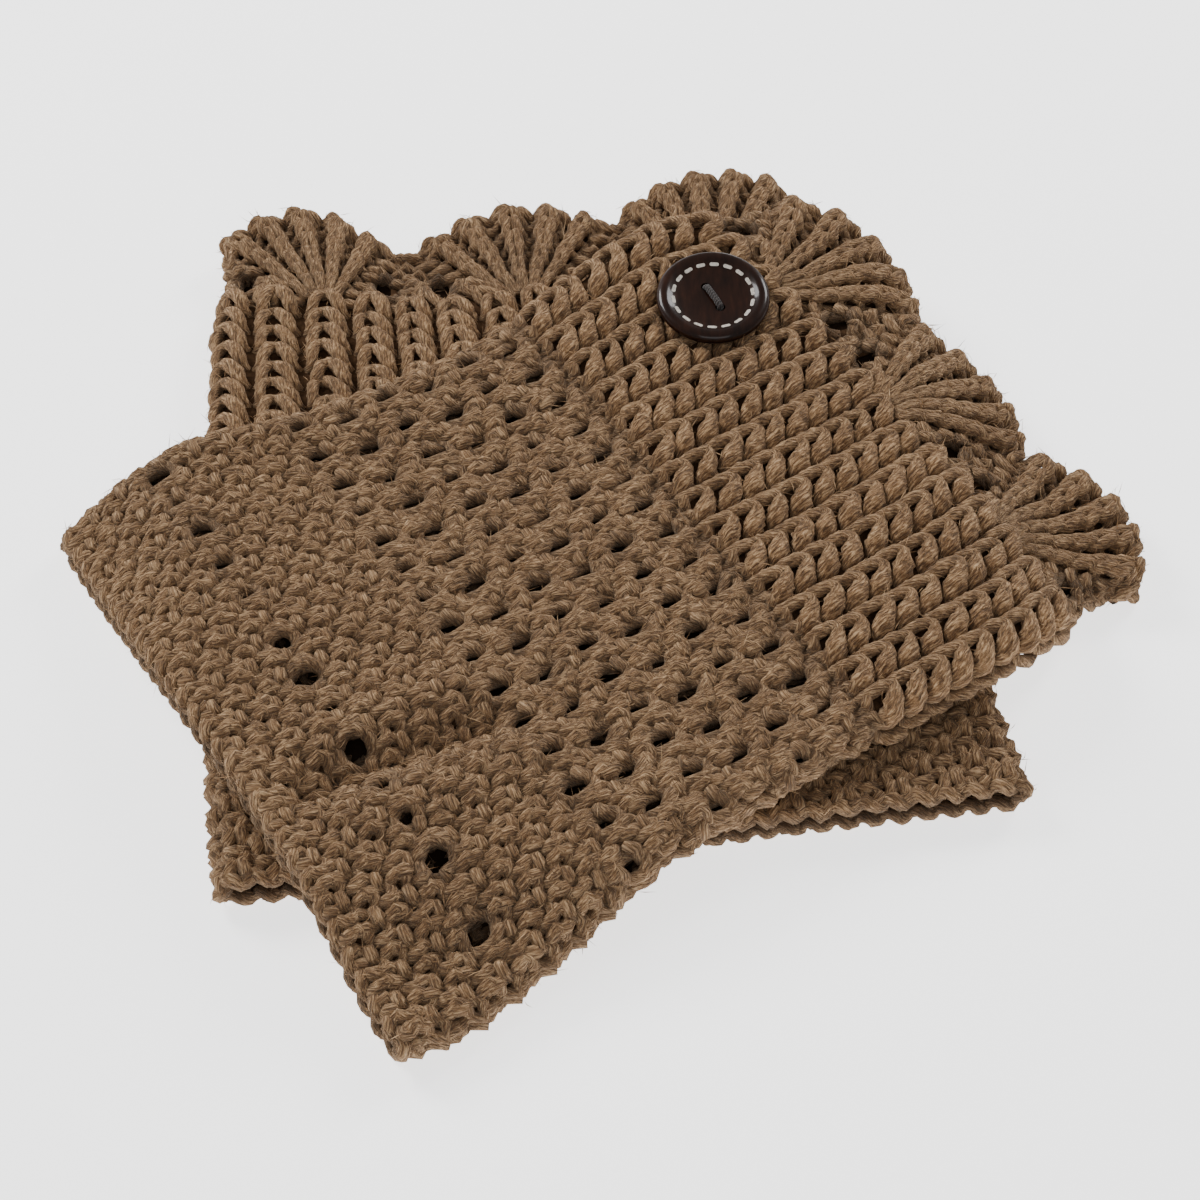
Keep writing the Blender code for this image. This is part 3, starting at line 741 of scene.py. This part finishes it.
def tube_mesh(name, strands, sides):
    """Closed strands as one mesh of round tubes, with the way along and round the yarn as its UV map."""
    corners, faces, maps, deeps, tones = [], [], [], [], []
    start = 0
    luck = np.random.default_rng(len(strands) * 7 + sides)
    turn = 2 * math.pi * np.arange(sides) / sides
    for strand in strands:
        points = strand.points
        count = len(points)
        ahead = np.roll(points, -1, axis=0)
        tangent = unit(ahead - np.roll(points, 1, axis=0))
        side = unit(np.cross(tangent, strand.ways))
        out = np.cross(side, tangent)
        uneven = strand.radius[:, None] * (1 + luck.normal(0.0, UNEVEN, (count, sides)))
        wall = points[:, None, :] + rings(turn, -out, side) * uneven[:, :, None]
        corners.append(wall.reshape(-1, 3))
        m = np.arange(count)[:, None]
        k = np.arange(sides)[None, :]
        next_m = (m + 1) % count
        next_k = (k + 1) % sides
        quads = [m * sides + k, next_m * sides + k, next_m * sides + next_k, m * sides + next_k]
        faces.append(np.stack(quads, axis=-1).reshape(-1, 4) + start)
        run = np.concatenate([[0.0], np.cumsum(np.linalg.norm(ahead - points, axis=1))])
        run += luck.uniform(0.0, 900.0)
        low, high = run[:-1][:, None] + 0 * k, run[1:][:, None] + 0 * k
        one, two = 0 * m + k / sides, 0 * m + (k + 1) / sides
        pairs = ((low, one), (high, one), (high, two), (low, two))
        maps.append(np.stack([np.stack(pair, axis=-1) for pair in pairs], axis=2).reshape(-1, 2))
        # Painted shade: each strand's inner side, which faces into the knit, gets a lower deep and so a
        # darker colour.
        deep = strand.deep[:, None] - np.cos(turn)[None, :] * strand.radius[:, None]
        deeps.append(deep.reshape(-1))
        tones.append(np.full(count * sides, luck.uniform(0.0, 1.0)))
        start += count * sides
    return array_mesh(
        name,
        np.concatenate(corners) * MM,
        np.concatenate(faces),
        np.concatenate(maps),
        {"deep": np.concatenate(deeps), "tone": np.concatenate(tones)},
    )


def fuzz_mesh(name, strands, count, luck):
    """Short fibres that stand off the yarn, each a thin spindle rooted in a strand."""
    points = np.concatenate([s.points for s in strands])
    ways = np.concatenate([s.ways for s in strands])
    sizes = np.concatenate([s.radius for s in strands])
    run = np.concatenate([np.roll(s.points, -1, axis=0) - s.points for s in strands])
    pick = luck.choice(np.flatnonzero(ways[:, 2] > -0.4), count)
    run = unit(run[pick])
    side = unit(np.cross(run, ways[pick]))
    spin = luck.uniform(-1.3, 1.3, (count, 1))
    out = np.cos(spin) * np.cross(side, run) + np.sin(spin) * side
    way = run * luck.choice([-1.0, 1.0], (count, 1)) + out * luck.uniform(0.15, 0.9, (count, 1))
    way = unit(way + side * luck.normal(0.0, 0.5, (count, 1)))
    bend = luck.normal(0.0, 0.5, (count, 3)) - 0.45 * out
    length = luck.uniform(1.0, 3.0, (count, 1, 1))
    share = np.array([0.0, 0.5, 1.0])[None, :, None]
    root = points[pick] + out * (sizes[pick, None] - FIBRE_ROOT)
    line = root[:, None, :] + length * (way[:, None, :] * share + bend[:, None, :] * share**2)
    aside = unit(np.cross(way, luck.normal(0.0, 1.0, (count, 3))))
    ring = rings(2 * math.pi * np.arange(3) / 3, aside, np.cross(way, aside))
    corners = np.concatenate([line[:, :1], line[:, 1:2] + ring * FIBRE_RADIUS, line[:, 2:]], axis=1)
    corners[:, :, 2] = np.maximum(corners[:, :, 2], 0.1)
    one = [(0, 2, 1), (0, 3, 2), (0, 1, 3), (4, 1, 2), (4, 2, 3), (4, 3, 1)]
    faces = (np.array(one)[None, :, :] + 5 * np.arange(count)[:, None, None]).reshape(-1, 3)
    place = luck.uniform(0.0, 1.0, (count, 1, 2)) * np.array([900.0, 1.0])
    uv = np.broadcast_to(place, (count, 3 * len(one), 2)).reshape(-1, 2)
    tones = np.repeat(luck.uniform(0.0, 1.0, count), 5)
    # A high deep: the fibres get no painted shade.
    values = {"deep": np.full(len(tones), 2.0), "tone": tones}
    return array_mesh(name, corners.reshape(-1, 3) * MM, faces, uv, values)


def array_mesh(name, corners, faces, uv, values):
    """A mesh from arrays, with the yarn's UV map and a number for each corner under each name of values."""
    data = bpy.data.meshes.new(name)
    data.vertices.add(len(corners))
    data.vertices.foreach_set("co", corners.astype(np.float32).ravel())
    data.loops.add(faces.size)
    data.loops.foreach_set("vertex_index", faces.astype(np.int32).ravel())
    data.polygons.add(len(faces))
    data.polygons.foreach_set("loop_start", np.arange(0, faces.size, faces.shape[1], dtype=np.int32))
    data.update(calc_edges=True)
    layer = data.uv_layers.new(name="yarn")
    layer.data.foreach_set("uv", uv.astype(np.float32).ravel())
    for key, found in values.items():
        made = data.attributes.new(key, "FLOAT", "POINT")
        made.data.foreach_set("value", found.astype(np.float32))
    data.shade_smooth()
    data.validate()
    return data


def mesh_from(name, form):
    """The mesh of a bmesh, which is let go."""
    data = bpy.data.meshes.new(name)
    form.to_mesh(data)
    form.free()
    return data


def put_in(name, data):
    made = bpy.data.objects.new(name, data)
    bpy.context.scene.collection.objects.link(made)
    return made


def add_piece(name, data, finish):
    data.materials.append(finish)
    piece = put_in(name, data)
    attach(piece, "root")
    return piece


GROUND_START = 2.0  # along the cuff, as the next two
GROUND_BEND = 140.0  # past this, the ground's rows turn to follow the shells' edge
GROUND_END = 176.0
GROUND_SHORT = 2.3  # how far the ground ends before the shells' edge
GROUND_THICK = 0.7
GROUND_SINK = 0.55  # how deep the ground lies in the wall, with less in the ribs and more in the shells
RIB_GROUND = 0.3
SHELL_GROUND = 1.15


def ground_cloth(cuff, finish):
    """The felted inner side of the knit: a thin shell between the strands, open at the eyelets of its front
    layer. Its dark colour is painted shade, and the layer deep marks the front, so that the ground behind is
    painted darker still.
    """
    columns, rows = 120, 74
    around = np.arange(columns) * ROUND / columns
    guide, count, _ = fan_guide(cuff, *FAN_EDGE)
    edge = guide(np.linspace(0.0, count, 1200, endpoint=False))
    top = np.interp(around, edge.around, edge.along, period=ROUND) - GROUND_SHORT
    share = np.linspace(0.0, 1.0, rows)[:, None]
    base = GROUND_START + share * (GROUND_END - GROUND_START)
    upper = smooth((base - GROUND_BEND) / (GROUND_END - GROUND_BEND))
    along = base + upper * (top[None, :] - GROUND_END)
    around = np.broadcast_to(around, along.shape)
    keep = np.ones((rows - 1, columns), dtype=bool)
    middle = (along[:-1] + along[1:]) / 2
    beside = around[:-1] + ROUND / columns / 2
    for row in EYELETS:
        wide, tall = row.wide * 0.8, row.tall * 0.8
        for centre in eyelets_near(row, beside):
            near = np.hypot((beside - centre) / wide, (middle - row.along) / tall)
            keep &= (near > 1) | (from_fold(centre) < 1) | (beside > LAYER)
    sheet = bmesh.new()
    deep = sheet.verts.layers.float.new("deep")
    grid = []
    for r in range(rows):
        a, b = opened(around[r], along[r], along[r])
        ribbed = smooth((b - MESH_TOP) / 3.0) * smooth((NECK_ALONG - b) / 3.0)
        out = -GROUND_SINK + RIB_GROUND * ribbed - SHELL_GROUND * smooth((b - NECK_ALONG) / 3.0)
        points, _ = on_cuff(cuff, a, b, out, np.full_like(a, GROUND_THICK))
        grid.append([sheet.verts.new(p * MM) for p in points])
        # Deep is 1 in front and 0 behind, so that the ground behind gets a darker painted shade.
        for vertex, place in zip(grid[-1], a):
            vertex[deep] = 1.0 if place < LAYER else 0.0
    for r in range(rows - 1):
        for c in range(columns):
            if keep[r, c]:
                d = (c + 1) % columns
                sheet.faces.new((grid[r][c], grid[r][d], grid[r + 1][d], grid[r + 1][c]))
    loose = [v for v in sheet.verts if not v.link_faces]
    bmesh.ops.delete(sheet, geom=loose, context="VERTS")
    bmesh.ops.recalc_face_normals(sheet, faces=sheet.faces)
    bmesh.ops.solidify(sheet, geom=sheet.faces[:], thickness=GROUND_THICK * MM)
    data = mesh_from(f"{cuff.name}_ground", sheet)
    data.shade_smooth()
    piece = add_piece(f"{cuff.name}_ground", data, finish)
    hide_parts(f"{cuff.name}_back", f"{cuff.name}_front")
    return piece


def knit_cuff(cuff, finish, ground_finish):
    """A cuff's pieces: each zone of the knit, the fibres, and the ground that they lie on."""
    luck = np.random.default_rng(cuff.seed)
    edge = straight_guide(Course(1.5, 3.9, "seed"))
    band, before = course_rounds(cuff, luck, BAND, np.full(STITCHES, 1.0))
    band.insert(0, edge_round(cuff, edge, STITCHES, 0.5, 0.9))
    net, _ = course_rounds(cuff, luck, MESH, before)
    ribs = [rib_round(cuff, luck, course) for course in RIBS]
    shells = shell_rounds(cuff, luck)
    zones = {"band": band, "mesh": net, "ribs": ribs, "shells": shells}
    meshes = {zone: tube_mesh(f"{cuff.name}_{zone}", strands, cuff.sides) for zone, strands in zones.items()}
    every = [strand for strands in zones.values() for strand in strands]
    meshes["fuzz"] = fuzz_mesh(f"{cuff.name}_fuzz", every, cuff.fibres, luck)
    pieces = [add_piece(f"{cuff.name}_{zone}", data, finish) for zone, data in meshes.items()]
    ground = ground_cloth(cuff, ground_finish)


# Finishes


class Value:
    """A number that varies over a surface, so that shader maths reads as plain sums."""

    def __init__(self, finish, socket):
        self.finish = finish
        self.socket = socket

    def __add__(self, other):
        return self.finish.maths("ADD", self, other)

    __radd__ = __add__

    def __sub__(self, other):
        return self.finish.maths("SUBTRACT", self, other)

    def __rsub__(self, other):
        return self.finish.maths("SUBTRACT", other, self)

    def __mul__(self, other):
        return self.finish.maths("MULTIPLY", self, other)

    __rmul__ = __mul__

    def __pow__(self, other):
        return self.finish.maths("POWER", self, other)

    def __rpow__(self, other):
        return self.finish.maths("POWER", other, self)


class Finish:
    """A material and its nodes. Constants are set on the shader's own sockets."""

    def __init__(self, name, constants):
        self.material = bpy.data.materials.new(name)
        self.material.use_nodes = True
        self.tree = self.material.node_tree
        self.shader = self.tree.nodes["Principled BSDF"]
        for key, value in constants.items():
            self.shader.inputs[key].default_value = value

    def node(self, kind, settings=None, values=None, output=0):
        """Adds a node. Settings come first; a ramp's stops are (place, colour) pairs."""
        made = self.tree.nodes.new(kind)
        for key, value in (settings or {}).items():
            if key == "stops":
                ramp = made.color_ramp
                while len(ramp.elements) < len(value):
                    ramp.elements.new(0.5)
                for element, (place, colour) in zip(ramp.elements, value):
                    element.position = place
                    element.color = (*colour, 1.0)
            else:
                setattr(made, key, value)
        for key, value in (values or {}).items():
            if isinstance(value, Value):
                self.tree.links.new(value.socket, made.inputs[key])
            else:
                made.inputs[key].default_value = value
        return Value(self, made.outputs[output])

    def feed(self, name, value):
        self.tree.links.new(value.socket, self.shader.inputs[name])

    def maths(self, operation, *terms):
        return self.node("ShaderNodeMath", {"operation": operation}, dict(enumerate(terms)))

    def clipped(self, value):
        return self.node("ShaderNodeClamp", {}, {0: value})

    def ramp(self, value, *stops):
        return self.node("ShaderNodeValToRGB", {"stops": stops}, {0: value})

    def mixed(self, share, first, second, blend="MIX"):
        settings = {"data_type": "RGBA", "blend_type": blend}
        return self.node("ShaderNodeMix", settings, {0: share, 6: first, 7: second}, output=2)

    def noise(self, place, scale, detail=2.0, roughness=0.5):
        values = {"Vector": place, "Scale": scale, "Detail": detail, "Roughness": roughness}
        return self.node("ShaderNodeTexNoise", {"noise_dimensions": "3D"}, values)

    def object_place(self):
        return self.node("ShaderNodeTexCoord", output=3)

    def attribute(self, name):
        return self.node("ShaderNodeAttribute", {"attribute_name": name}, output=2)

    def yarn_place(self):
        """The way along the yarn in millimetres, and the share of a turn round it."""
        place = self.node("ShaderNodeUVMap", {"uv_map": "yarn"})
        return [self.node("ShaderNodeSeparateXYZ", {}, {0: place}, output=k) for k in (0, 1)]

    def bumped(self, height, strength, distance):
        values = {"Strength": strength, "Distance": distance, "Height": height}
        self.feed("Normal", self.node("ShaderNodeBump", {}, values))


YARN_TWIST = 19.0  # along the yarn for one turn
YARN_PLIES = 12
YARN_DRAWN = 1.6  # the radius that the yarn's pattern is drawn at


def yarn_finish():
    """Soft brown yarn of many loosely twisted plies, with a haze of fibres. Its colour holds painted shade:
    darker where a strand lies low in the knit, on each strand's inner side and in the grooves between plies.
    """
    f = Finish(
        "knit",
        {
            "Roughness": 0.95,
            "Sheen Weight": 0.35,
            "Sheen Roughness": 0.6,
            "Sheen Tint": (0.90, 0.72, 0.52, 1.0),
            "Specular IOR Level": 0.12,
        },
    )
    along, turn = f.yarn_place()
    angle = turn * (2 * math.pi) + along * (2 * math.pi / YARN_TWIST)
    round_x = f.maths("COSINE", angle) * YARN_DRAWN
    round_y = f.maths("SINE", angle) * YARN_DRAWN
    fibre_place = f.node("ShaderNodeCombineXYZ", {}, {0: round_x, 1: round_y, 2: along * 0.27})
    patch_place = f.node("ShaderNodeCombineXYZ", {}, {0: round_x, 1: round_y, 2: along * 0.9})
    fibres = f.noise(fibre_place, 3.0, 4.0, 0.68)
    patches = f.noise(patch_place, 0.9)
    bend = (patches - 0.5) * 5.0
    ply = f.maths("ABSOLUTE", f.maths("SINE", angle * (YARN_PLIES / 2) + bend)) ** 0.8
    # outer is how far out the surface lies, from deep; the painted shade below follows it.
    outer = f.clipped(f.attribute("deep") * 0.25 + 0.46)
    tone = f.attribute("tone")
    wide = f.noise(f.object_place(), 55.0)
    # Painted shade: ply darkens the grooves between the plies; fibres, patches, wide and tone vary the yarn's
    # own colour at random.
    level = ply * 0.24 + (fibres - 0.5) * 3.4 + (patches - 0.5) * 1.1 + (wide - 0.5) * 0.30
    level = f.clipped(level + (tone - 0.5) * 0.06 + 0.30)
    colour = f.ramp(
        level,
        (0.0, (0.082, 0.036, 0.014)),
        (0.36, (0.212, 0.108, 0.046)),
        (0.66, (0.395, 0.226, 0.108)),
        (0.95, (0.680, 0.443, 0.245)),
    )
    # Painted shade: multiplied into the colour, darkest where the yarn lies low.
    shade = f.ramp(outer, (0.0, (0.30, 0.26, 0.24)), (0.9, (1.0, 1.0, 1.0)))
    f.feed("Base Color", f.mixed(1.0, colour, shade, "MULTIPLY"))
    f.bumped(ply * 0.3 + fibres * 1.3, 1.0, 0.0007)
    return f.material


def ground_yarn_finish():
    """The same yarn seen deep between the stitches, painted much darker than the yarn as painted shade, and
    darker still behind.
    """
    f = Finish("knit_ground", {"Roughness": 1.0, "Specular IOR Level": 0.05})
    fuzz = f.noise(f.object_place(), 900.0, 3.0, 0.6)
    felt_in_shade = f.ramp(fuzz, (0.25, (0.036, 0.019, 0.010)), (0.75, (0.095, 0.051, 0.026)))
    # Painted shade: the ground behind is given a still darker colour than the felt in front.
    f.feed("Base Color", f.mixed(f.attribute("deep"), (0.022, 0.012, 0.007, 1.0), felt_in_shade))
    f.bumped(fuzz, 0.8, 0.0005)
    return f.material


def wood_finish():
    """Dark stained wood, turned and polished."""
    f = Finish("button_wood", {"Coat Weight": 0.35, "Coat Roughness": 0.10, "Specular IOR Level": 0.10})
    place = f.object_place()
    stretched = f.node("ShaderNodeMapping", {}, {"Vector": place, "Scale": (700.0, 90.0, 700.0)})
    grain = f.noise(stretched, 1.0, 4.0, 0.6)
    cloud = f.noise(place, 160.0)
    colour = f.ramp(
        grain * 0.6 + cloud * 0.4,
        (0.3, (0.0060, 0.0024, 0.0014)),
        (0.55, (0.0190, 0.0062, 0.0030)),
        (0.8, (0.0420, 0.0140, 0.0060)),
    )
    f.feed("Base Color", colour)
    f.feed("Roughness", f.clipped(0.26 + grain * 0.14))
    f.bumped(grain, 0.12, 0.0001)
    return f.material


def dash_finish():
    """Pale paint, a little worn."""
    f = Finish("button_dashes", {"Roughness": 0.6})
    worn = f.noise(f.object_place(), 2200.0, 3.0, 0.6)
    f.feed("Base Color", f.ramp(worn, (0.30, (0.33, 0.29, 0.24)), (0.55, (0.62, 0.57, 0.50))))
    return f.material


def thread_finish():
    """Dark sewing thread of two plies, painted darker in the grooves between them as painted shade."""
    f = Finish("sewing_thread", {"Roughness": 0.7, "Sheen Weight": 0.2})
    along, turn = f.yarn_place()
    twist = f.maths("SINE", turn * (4 * math.pi) + along * 9.0)
    # Painted shade: the colour follows the twist, darker in the grooves between the plies.
    colour = f.ramp(twist * 0.5 + 0.5, (0.0, (0.006, 0.004, 0.004)), (1.0, (0.035, 0.022, 0.018)))
    f.feed("Base Color", colour)
    f.bumped(twist, 0.6, 0.0001)
    return f.material


# The buttons: radius and height over the underside, up the outside and in over the dished face
BUTTON_OUTLINE = [
    (0.0, 0.0),
    (9.4, 0.0),
    (10.6, 0.15),
    (11.7, 0.65),
    (12.3, 1.35),
    (12.5, 1.95),
    (12.42, 2.5),
    (12.1, 2.95),
    (11.6, 3.27),
    (11.0, 3.4),
    (10.4, 3.36),
    (9.9, 3.2),
    (9.35, 2.86),
    (8.8, 2.62),
    (7.6, 2.42),
    (5.6, 2.22),
    (3.0, 2.12),
    (0.0, 2.1),
]
FACE_START = 9  # the outline's point on top of the rim, from which it runs in over the face
FACE_MIDDLE = 2.1
HOLE_RADIUS = 1.1
HOLE_ASIDE = 3.2
HOLE_TURN = math.radians(-62)
DASHES = 18
DASH_RING = 8.85
DASH_LONG = 2.05
DASH_WIDE = 0.84
DASH_THICK = 0.28
DASH_DEEP = 0.17  # how much of a dash is let into the face
THREAD_RADIUS = 0.36
THREAD_ASIDE = 0.42  # between the middles of two strands
THREAD_SPREAD = 0.1  # past the holes' middles
THREAD_LEVEL = 1.9  # the height at which a loop turns over into the holes
THREAD_ARCH = 0.6
THREAD_UNDER = 1.2


def button_stand(cuff):
    """The place and tilt of a cuff's button."""
    seat = Vector(button_seat(cuff)) * MM
    return Matrix.Translation(seat) @ Matrix.Rotation(cuff.button.tilt, 4, "X")


def face_height(radius):
    """Height of the button's dished face at a distance from its middle."""
    face = sorted(BUTTON_OUTLINE[FACE_START:])
    return float(np.interp(radius, [r for r, _ in face], [h for _, h in face]))


def button_body(cuff, finish):
    """The turned wood, with its two holes bored through."""
    name = f"{cuff.name}_button_wood"
    body = bmesh.new()
    line = [body.verts.new((r * MM, 0, h * MM)) for r, h in BUTTON_OUTLINE]
    edges = [body.edges.new(pair) for pair in zip(line, line[1:])]
    bmesh.ops.spin(
        body,
        geom=line + edges,
        cent=(0, 0, 0),
        axis=(0, 0, 1),
        angle=2 * math.pi,
        steps=96,
        use_merge=True,
    )
    bmesh.ops.remove_doubles(body, verts=body.verts, dist=1e-6)
    bmesh.ops.recalc_face_normals(body, faces=body.faces)
    blank = put_in(name, mesh_from(name, body))
    bits = []
    for way in (-1, 1):
        bit = bmesh.new()
        centre = Vector((math.cos(HOLE_TURN), math.sin(HOLE_TURN), 0)) * HOLE_ASIDE * way * MM
        bmesh.ops.create_cone(
            bit,
            cap_ends=True,
            segments=24,
            radius1=HOLE_RADIUS * MM,
            radius2=HOLE_RADIUS * MM,
            depth=0.02,
            matrix=Matrix.Translation(centre),
        )
        cutter = put_in(f"{name}_bit", mesh_from(f"{name}_bit", bit))
        cut = blank.modifiers.new("hole", "BOOLEAN")
        cut.operation = "DIFFERENCE"
        cut.object = cutter
        bits.append(cutter)
    ready = bpy.data.meshes.new_from_object(blank.evaluated_get(bpy.context.evaluated_depsgraph_get()))
    for old in [blank, *bits]:
        bpy.data.objects.remove(old)
    ready.name = name
    ready.transform(button_stand(cuff))
    ready.shade_smooth()
    ready.set_sharp_from_angle(angle=math.radians(40))
    piece = add_piece(name, ready, finish)
    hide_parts(f"{cuff.name}_button")


def button_dashes(cuff, finish):
    """The ring of short painted strokes, each a thin rounded pad let into the face."""
    name = f"{cuff.name}_button_dashes"
    ring = bmesh.new()
    slope = math.atan2(face_height(DASH_RING + 0.4) - face_height(DASH_RING - 0.4), 0.8)
    half = (DASH_LONG - DASH_WIDE) / 2
    for k in range(DASHES):
        turn = 2 * math.pi * (k + 0.35) / DASHES
        made = bmesh.ops.create_circle(ring, cap_ends=True, segments=16, radius=0.5)
        loop = made["verts"]
        for v in loop:
            v.co = Vector((v.co.x * DASH_WIDE, v.co.y * DASH_WIDE + math.copysign(half, v.co.y), 0))
        top = bmesh.ops.extrude_face_region(ring, geom=list({f for v in loop for f in v.link_faces}))
        raised = [g for g in top["geom"] if isinstance(g, bmesh.types.BMVert)]
        bmesh.ops.translate(ring, verts=raised, vec=(0, 0, DASH_THICK))
        every = loop + raised
        bmesh.ops.rotate(ring, verts=every, cent=(0, 0, 0), matrix=Matrix.Rotation(-slope, 3, "Y"))
        bmesh.ops.translate(ring, verts=every, vec=(DASH_RING, 0, face_height(DASH_RING) - DASH_DEEP))
        bmesh.ops.rotate(ring, verts=every, cent=(0, 0, 0), matrix=Matrix.Rotation(turn, 3, "Z"))
    bmesh.ops.scale(ring, verts=ring.verts, vec=(MM, MM, MM))
    bmesh.ops.recalc_face_normals(ring, faces=ring.faces)
    data = mesh_from(name, ring)
    data.transform(button_stand(cuff))
    add_piece(name, data, finish)


def button_thread(cuff, finish):
    """Three strands of thread, each a closed loop up one hole, over the face and down the other."""
    name = f"{cuff.name}_button_sewing"
    stand = np.array(button_stand(cuff))
    beside = np.array([-math.sin(HOLE_TURN), math.cos(HOLE_TURN), 0.0]) @ stand[:3, :3].T
    turns = np.linspace(0.0, 2 * math.pi, 40, endpoint=False)
    strands = []
    for k, aside in enumerate((-THREAD_ASIDE, 0.0, THREAD_ASIDE)):
        run = np.cos(turns)
        run = np.sign(run) * np.abs(run) ** 0.6 * (HOLE_ASIDE + THREAD_SPREAD)
        round_over = np.abs(np.sin(turns)) ** 0.5
        arch = FACE_MIDDLE + THREAD_ARCH - THREAD_LEVEL + 0.12 * (k % 2)
        high = THREAD_LEVEL + np.where(np.sin(turns) > 0, arch, -THREAD_UNDER) * round_over
        local = np.stack(
            [
                run * math.cos(HOLE_TURN) - aside * math.sin(HOLE_TURN),
                run * math.sin(HOLE_TURN) + aside * math.cos(HOLE_TURN),
                high,
            ],
            axis=-1,
        )
        points = local @ stand[:3, :3].T + stand[:3, 3] / MM
        sizes = np.full(len(points), THREAD_RADIUS)
        strands.append(Strand(points, np.broadcast_to(beside, points.shape), sizes, sizes))
    piece = add_piece(name, tube_mesh(name, strands, 8), finish)
    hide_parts(f"{cuff.name}_button_thread")


# Floor, light and camera, in metres
FLOOR_HALF = 12.0
CAMERA_PLACE = (0.0003, -0.3030, 0.3491)
CAMERA_TARGET = (0.0003, -0.0101, 0.0)
CAMERA_LENS = 65.9


def stage_finish():
    constants = {
        "Base Color": (0.92, 0.92, 0.92, 1.0),
        "Roughness": 0.9,
        "Specular IOR Level": 0.1,
        "Emission Color": (1.0, 1.0, 1.0, 1.0),
        "Emission Strength": 1.9,
    }
    return Finish("floor", constants).material


def lay_floor():
    plane = bmesh.new()
    bmesh.ops.create_grid(plane, x_segments=1, y_segments=1, size=FLOOR_HALF)
    data = mesh_from("floor", plane)
    data.materials.append(stage_finish())
    put_in("floor", data)


def light(name, place, size, power):
    """A softbox that faces the middle of the pair."""
    data = bpy.data.lights.new(name, "AREA")
    data.shape = "RECTANGLE"
    data.size, data.size_y = size
    data.energy = power
    made = put_in(name, data)
    made.location = place
    made.rotation_euler = (-Vector(place)).to_track_quat("-Z", "Y").to_euler()


def light_studio():
    world = bpy.data.worlds.new("studio")
    world.use_nodes = True
    world.node_tree.nodes["Background"].inputs["Color"].default_value = (1.0, 1.0, 1.0, 1.0)
    world.node_tree.nodes["Background"].inputs["Strength"].default_value = 0.34
    bpy.context.scene.world = world
    light("left_softbox", (-0.80, 0.60, 0.75), (0.45, 0.50), 13.5)
    light("right_softbox", (0.75, 0.80, 0.70), (0.40, 0.50), 9.0)
    light("front_fill", (0.1, -1.2, 1.1), (1.2, 0.7), 5.0)


def set_camera():
    data = bpy.data.cameras.new("camera")
    data.sensor_width = 36.0
    data.lens = CAMERA_LENS
    data.clip_start = 0.01
    camera = put_in("camera", data)
    camera.location = CAMERA_PLACE
    camera.rotation_euler = (Vector(CAMERA_TARGET) - camera.location).to_track_quat("-Z", "Y").to_euler()
    bpy.context.scene.camera = camera


def main():
    knit = yarn_finish()
    ground = ground_yarn_finish()
    wood = wood_finish()
    dashes = dash_finish()
    thread = thread_finish()
    for cuff in (LOWER, UPPER):
        knit_cuff(cuff, knit, ground)
        button_body(cuff, wood)
        button_dashes(cuff, dashes)
        button_thread(cuff, thread)
    lay_floor()
    light_studio()
    set_camera()


main()
